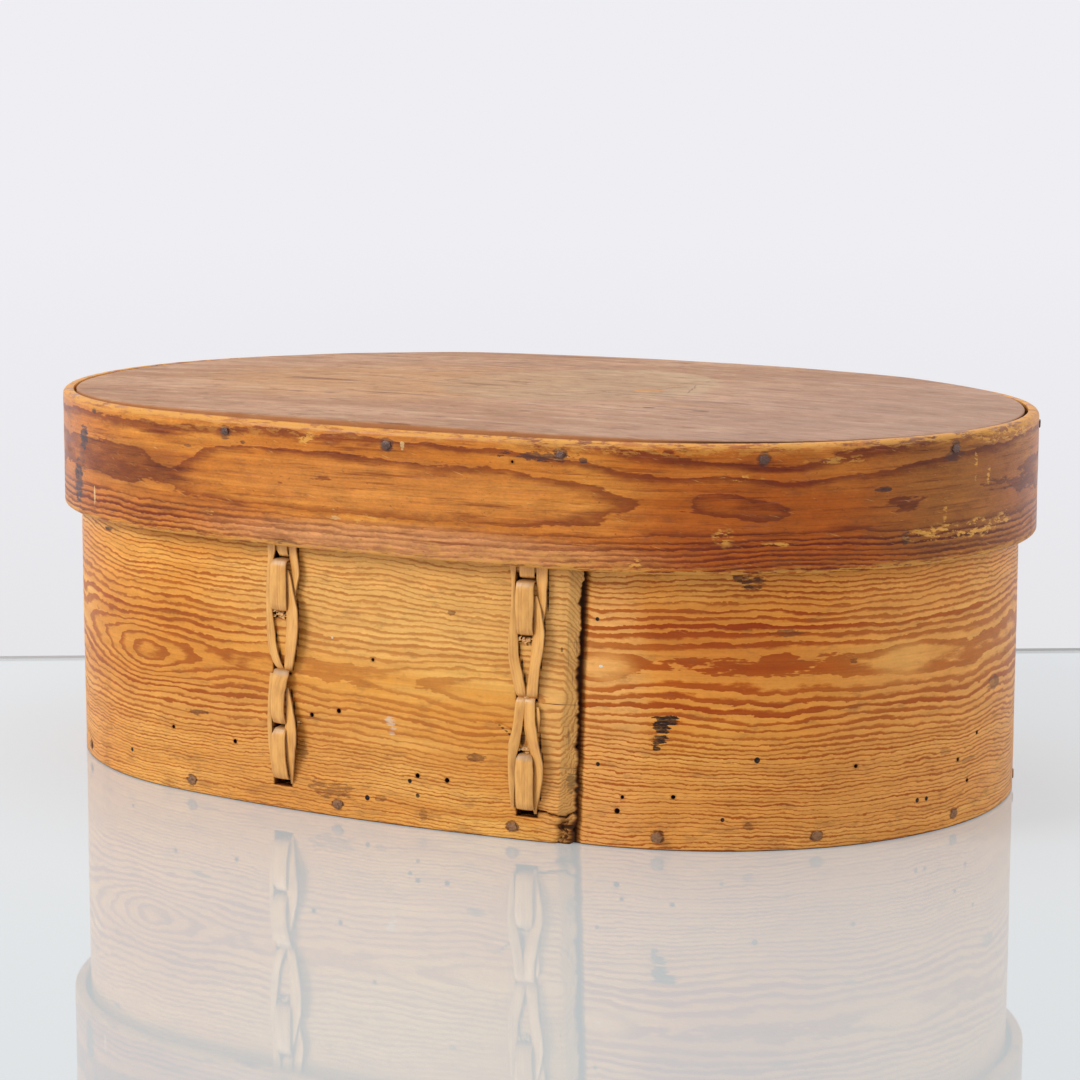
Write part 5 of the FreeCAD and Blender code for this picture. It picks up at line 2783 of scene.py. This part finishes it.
LEFT_STRANDS = (
    strand(
        (122, 6.4, 1.8, 0.3, 4), (107, 6.8, 2.4, 0.5, 14), (97.3, 8.3, 2.7, 0.7, 20),
        (91, 7.9, 1.5, 0.6, 22), (86.4, 7.4, 0.2, 0.4, 0),
    ),
    strand(
        (122, -4.6, 1.8, 0.9, 4), (107, -3.3, 2.0, 1.0, 6), (101, -4.0, 1.5, 0.5, 0),
        (90, -5.3, 1.3, 0.2, -4), (80, -5.2, 1.5, 0.2, -4), (72, -4.4, 1.9, 0.4, -4),
        (66, -3.5, 2.0, 0.6, 0), (60, -1.3, 2.1, 0.7, 6), (57.2, 0.3, 1.8, 0.0, 4),
        (55.6, 0.8, 1.6, -2.4, 0),
    ),
    strand(
        (97.3, 4.6, 0.2, 0.7, 0), (92, 5.5, 2.0, 1.0, 24), (82, 6.8, 3.9, 1.4, 20),
        (74, 6.9, 4.0, 1.4, 18), (66, 5.9, 3.6, 1.3, 18), (60, 4.8, 2.8, 0.9, 14),
        (57.2, 3.9, 1.9, 0.0, 4), (55.6, 3.6, 1.7, -2.4, 0),
    ),
    strand(
        (50, 3.8, 0.4, 0.6, 10), (42, 5.0, 2.3, 1.0, 22), (35, 5.6, 3.9, 1.5, 21),
        (30, 5.7, 4.0, 1.5, 20), (22, 5.3, 2.7, 1.0, 18), (14, 5.1, 0.9, 0.2, 0),
        (10.8, 4.6, 0.6, -1.0, 0),
    ),
    strand(
        (55, -4.0, 1.2, 0.2, 0), (45, -5.3, 0.9, 0.2, -6), (34, -5.6, 1.1, 0.2, -6),
        (24, -5.1, 0.9, 0.2, -6), (14, -3.8, 0.6, 0.1, 0),
    ),
)

RIGHT_STRANDS = (
    strand(
        (122, 6.2, 2.2, 0.3, 4), (108, 6.6, 2.6, 0.4, 6), (97, 6.8, 2.3, 0.7, 20),
        (91.5, 7.1, 1.5, 0.6, 18), (86.6, 7.1, 0.2, 0.4, 0),
    ),
    strand(
        (122, -5.3, 1.4, 0.3, 0), (108, -5.3, 1.3, 0.3, 0), (101, -5.2, 0.8, 0.2, 0),
        (90, -5.4, 0.9, 0.2, -4), (80, -5.3, 1.9, 0.3, -6), (72, -5.0, 2.1, 0.5, -4),
        (66, -3.8, 2.4, 0.6, 0), (60, -2.4, 2.4, 0.6, 6), (57.2, -2.0, 2.0, 0.0, 4),
        (55.6, -1.8, 1.8, -2.4, 0),
    ),
    strand(
        (96, 4.5, 0.3, 0.7, 0), (90, 5.1, 2.2, 1.0, 26), (83, 5.6, 3.1, 1.2, 26),
        (76, 5.2, 3.3, 1.3, 24), (69, 4.0, 2.6, 1.0, 18), (62, 3.1, 2.6, 0.8, 12),
        (57.2, 2.3, 2.5, 0.0, 4), (55.6, 2.2, 1.9, -2.4, 0),
    ),
    strand(
        (56.4, -2.0, 1.9, -1.6, 0), (54.5, -2.1, 2.0, 0.5, -4), (46, -3.0, 2.0, 1.0, -6),
        (38, -4.6, 2.2, 0.9, -8), (32, -5.6, 1.7, 0.6, -10), (22, -5.8, 1.3, 0.3, -6),
        (13, -5.5, 0.7, 0.1, 0),
    ),
    strand(
        (56.6, 1.5, 2.1, -1.6, 0), (54.5, 1.5, 2.3, 0.4, 4), (46, 2.0, 2.9, 1.1, 16),
        (38, 3.6, 3.2, 1.3, 24), (30, 5.6, 2.7, 1.2, 26), (22, 5.0, 2.1, 0.8, 20),
        (14, 3.9, 0.9, 0.2, 0), (11.0, 3.6, 0.6, -1.0, 0),
    ),
    strand((53, 5.0, 0.5, 0.3, 10), (49, 5.3, 0.8, 0.4, 10), (43.5, 5.2, 0.2, 0.3, 0)),
)


# Studio


@dataclass
class Studio:
    """Camera, pale table and wall, and plain soft light."""

    turn: float = math.radians(29.3)
    pitch: float = math.radians(8.83)
    roll: float = math.radians(0.14)
    aside: float = 1.1 * MM
    rise: float = 93.5 * MM
    distance: float = 1352.0 * MM
    lens: float = 105.6
    table_back: float = 0.227
    table_shadow_line: float = 1.3 * MM
    table_reach: float = 8.0
    table_slant: float = 0.42

    def shape(self, mesh: bmesh.types.BMesh) -> None:
        """Adds the top of the table and a thin upright strip along its back edge that paints the
        shadow line there.

        Args:
            mesh: Mesh under construction.
        """
        reach, back = self.table_reach, self.table_back
        far = ((reach, back + self.table_slant), (-reach, back - self.table_slant))
        outline = ((-reach, -reach), (reach, -reach), *far)
        plane = [mesh.verts.new(self.turned(x, y, 0.0)) for x, y in outline]
        mesh.faces.new(plane)
        rim = [mesh.verts.new(self.turned(x, y, self.table_shadow_line)) for x, y in far]
        mesh.faces.new([plane[3], plane[2], *rim]).material_index = 1

    def turned(self, x: float, y: float, z: float) -> Vector:
        """Place given in the camera's own directions, in the frame of the part."""
        cos, sin = math.cos(self.turn), math.sin(self.turn)
        return Vector((x * cos - y * sin, x * sin + y * cos, z))

    def camera(self) -> None:
        """Makes the camera that matches the photograph's view."""
        data = bpy.data.cameras.new("camera")
        data.lens = self.lens
        data.sensor_width = 36.0
        data.clip_start, data.clip_end = 0.05, 50.0
        made = placed("camera", data)
        made.location = self.turned(
            self.aside,
            -self.distance * math.cos(self.pitch),
            self.rise + self.distance * math.sin(self.pitch),
        )
        view = Euler((math.pi / 2 - self.pitch, 0.0, self.turn), "XYZ").to_matrix()
        tilt = Euler((0.0, 0.0, self.roll), "XYZ").to_matrix()
        made.rotation_euler = (view @ tilt).to_euler()
        bpy.context.scene.camera = made
    def table(self) -> None:
        """Makes the glossy pale table top."""
        mesh = bmesh.new()
        self.shape(mesh)
        data = bpy.data.meshes.new("table_top")
        mesh.to_mesh(data)
        mesh.free()
        top, rim = Paint("table_gloss"), Paint("table_shadow_line")
        top.dress(Base_Color=srgb(172, 177, 178), Roughness=0.02, IOR=1.9)
        top.dress(Emission_Color=srgb(222, 228, 230), Emission_Strength=0.26)
        # Grey strip: painted shadow line along the back edge of the table.
        rim.dress(Base_Color=srgb(206, 208, 210), Roughness=0.6)
        data.materials.append(top.material)
        data.materials.append(rim.material)
        placed("table_top", data)

    def world(self) -> None:
        """Makes the pale wall that camera and mirror rays see, and the plain light of the room."""
        world = bpy.data.worlds.new("studio_world")
        world.use_nodes = True
        bpy.context.scene.world = world
        graph = Graph(world.node_tree)
        camera, glossy, through = (
            graph.add("ShaderNodeLightPath", None, None, f"Is {kind} Ray")
            for kind in ("Camera", "Glossy", "Transmission")
        )
        seen = camera.most(glossy.most(through))
        spot = graph.add("ShaderNodeTexCoord", None, None, "Generated")
        level = graph.add("ShaderNodeSeparateXYZ", None, {0: spot}, "Z")
        bounds = {"Value": level, "From Min": -0.19, "From Max": -0.06}
        share = graph.add("ShaderNodeMapRange", None, bounds)
        colour = graph.mix(srgb(230, 229, 232), srgb(239, 238, 243), share)
        wall = graph.add("ShaderNodeBackground", None, {"Color": colour})
        plain = {"Color": (1.0, 0.99, 0.98), "Strength": 0.5}
        room = graph.add("ShaderNodeBackground", None, plain)
        light = graph.add("ShaderNodeMixShader", None, {0: seen, 1: room, 2: wall})
        output = graph.tree.nodes.new("ShaderNodeOutputWorld")
        graph.feed(output.inputs["Surface"], light)

    def lamp(self, name: str, x: float, y: float, z: float, size: float, power: float) -> None:
        """Makes a square soft lamp that faces the box.

        Args:
            name: Name of the lamp.
            x: Place to the camera's right.
            y: Place away from the camera.
            z: Height.
            size: Side of the lamp.
            power: Power in watts.
        """
        data = bpy.data.lights.new(name, "AREA")
        data.shape = "SQUARE"
        data.size = size
        data.energy = power
        made = placed(name, data)
        made.location = self.turned(x, y, z)
        aim = Vector((0.0, 0.0, 0.08)) - made.location
        made.rotation_euler = aim.to_track_quat("-Z", "Y").to_euler()

    def build(self) -> None:
        """Sets up the whole studio."""
        scene = bpy.context.scene
        scene.view_settings.view_transform = "Standard"
        self.camera()
        self.table()
        self.world()
        self.lamp("window_left", -1.8, -0.8, 1.3, 0.9, 27.0)
        self.lamp("window_right", 1.7, -0.7, 1.1, 1.2, 6.5)
        self.lamp("ceiling", 0.1, 0.2, 1.9, 1.6, 10.0)


def main() -> None:
    """Builds the box, the lid and the studio."""
    logging.basicConfig(level=logging.INFO, format="%(name)s: %(message)s")
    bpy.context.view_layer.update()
    for assembly in (Box(), Lid()):
        for piece in assembly.build():
            LOG.info("%s: %d faces", piece.name, len(piece.data.polygons))
    Studio().build()


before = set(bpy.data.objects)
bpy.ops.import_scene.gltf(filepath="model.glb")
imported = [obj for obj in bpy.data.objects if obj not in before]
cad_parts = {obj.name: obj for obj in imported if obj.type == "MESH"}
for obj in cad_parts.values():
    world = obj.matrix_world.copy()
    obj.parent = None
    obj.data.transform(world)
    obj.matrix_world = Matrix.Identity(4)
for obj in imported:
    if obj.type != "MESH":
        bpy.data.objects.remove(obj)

if __name__ == "__main__":
    main()
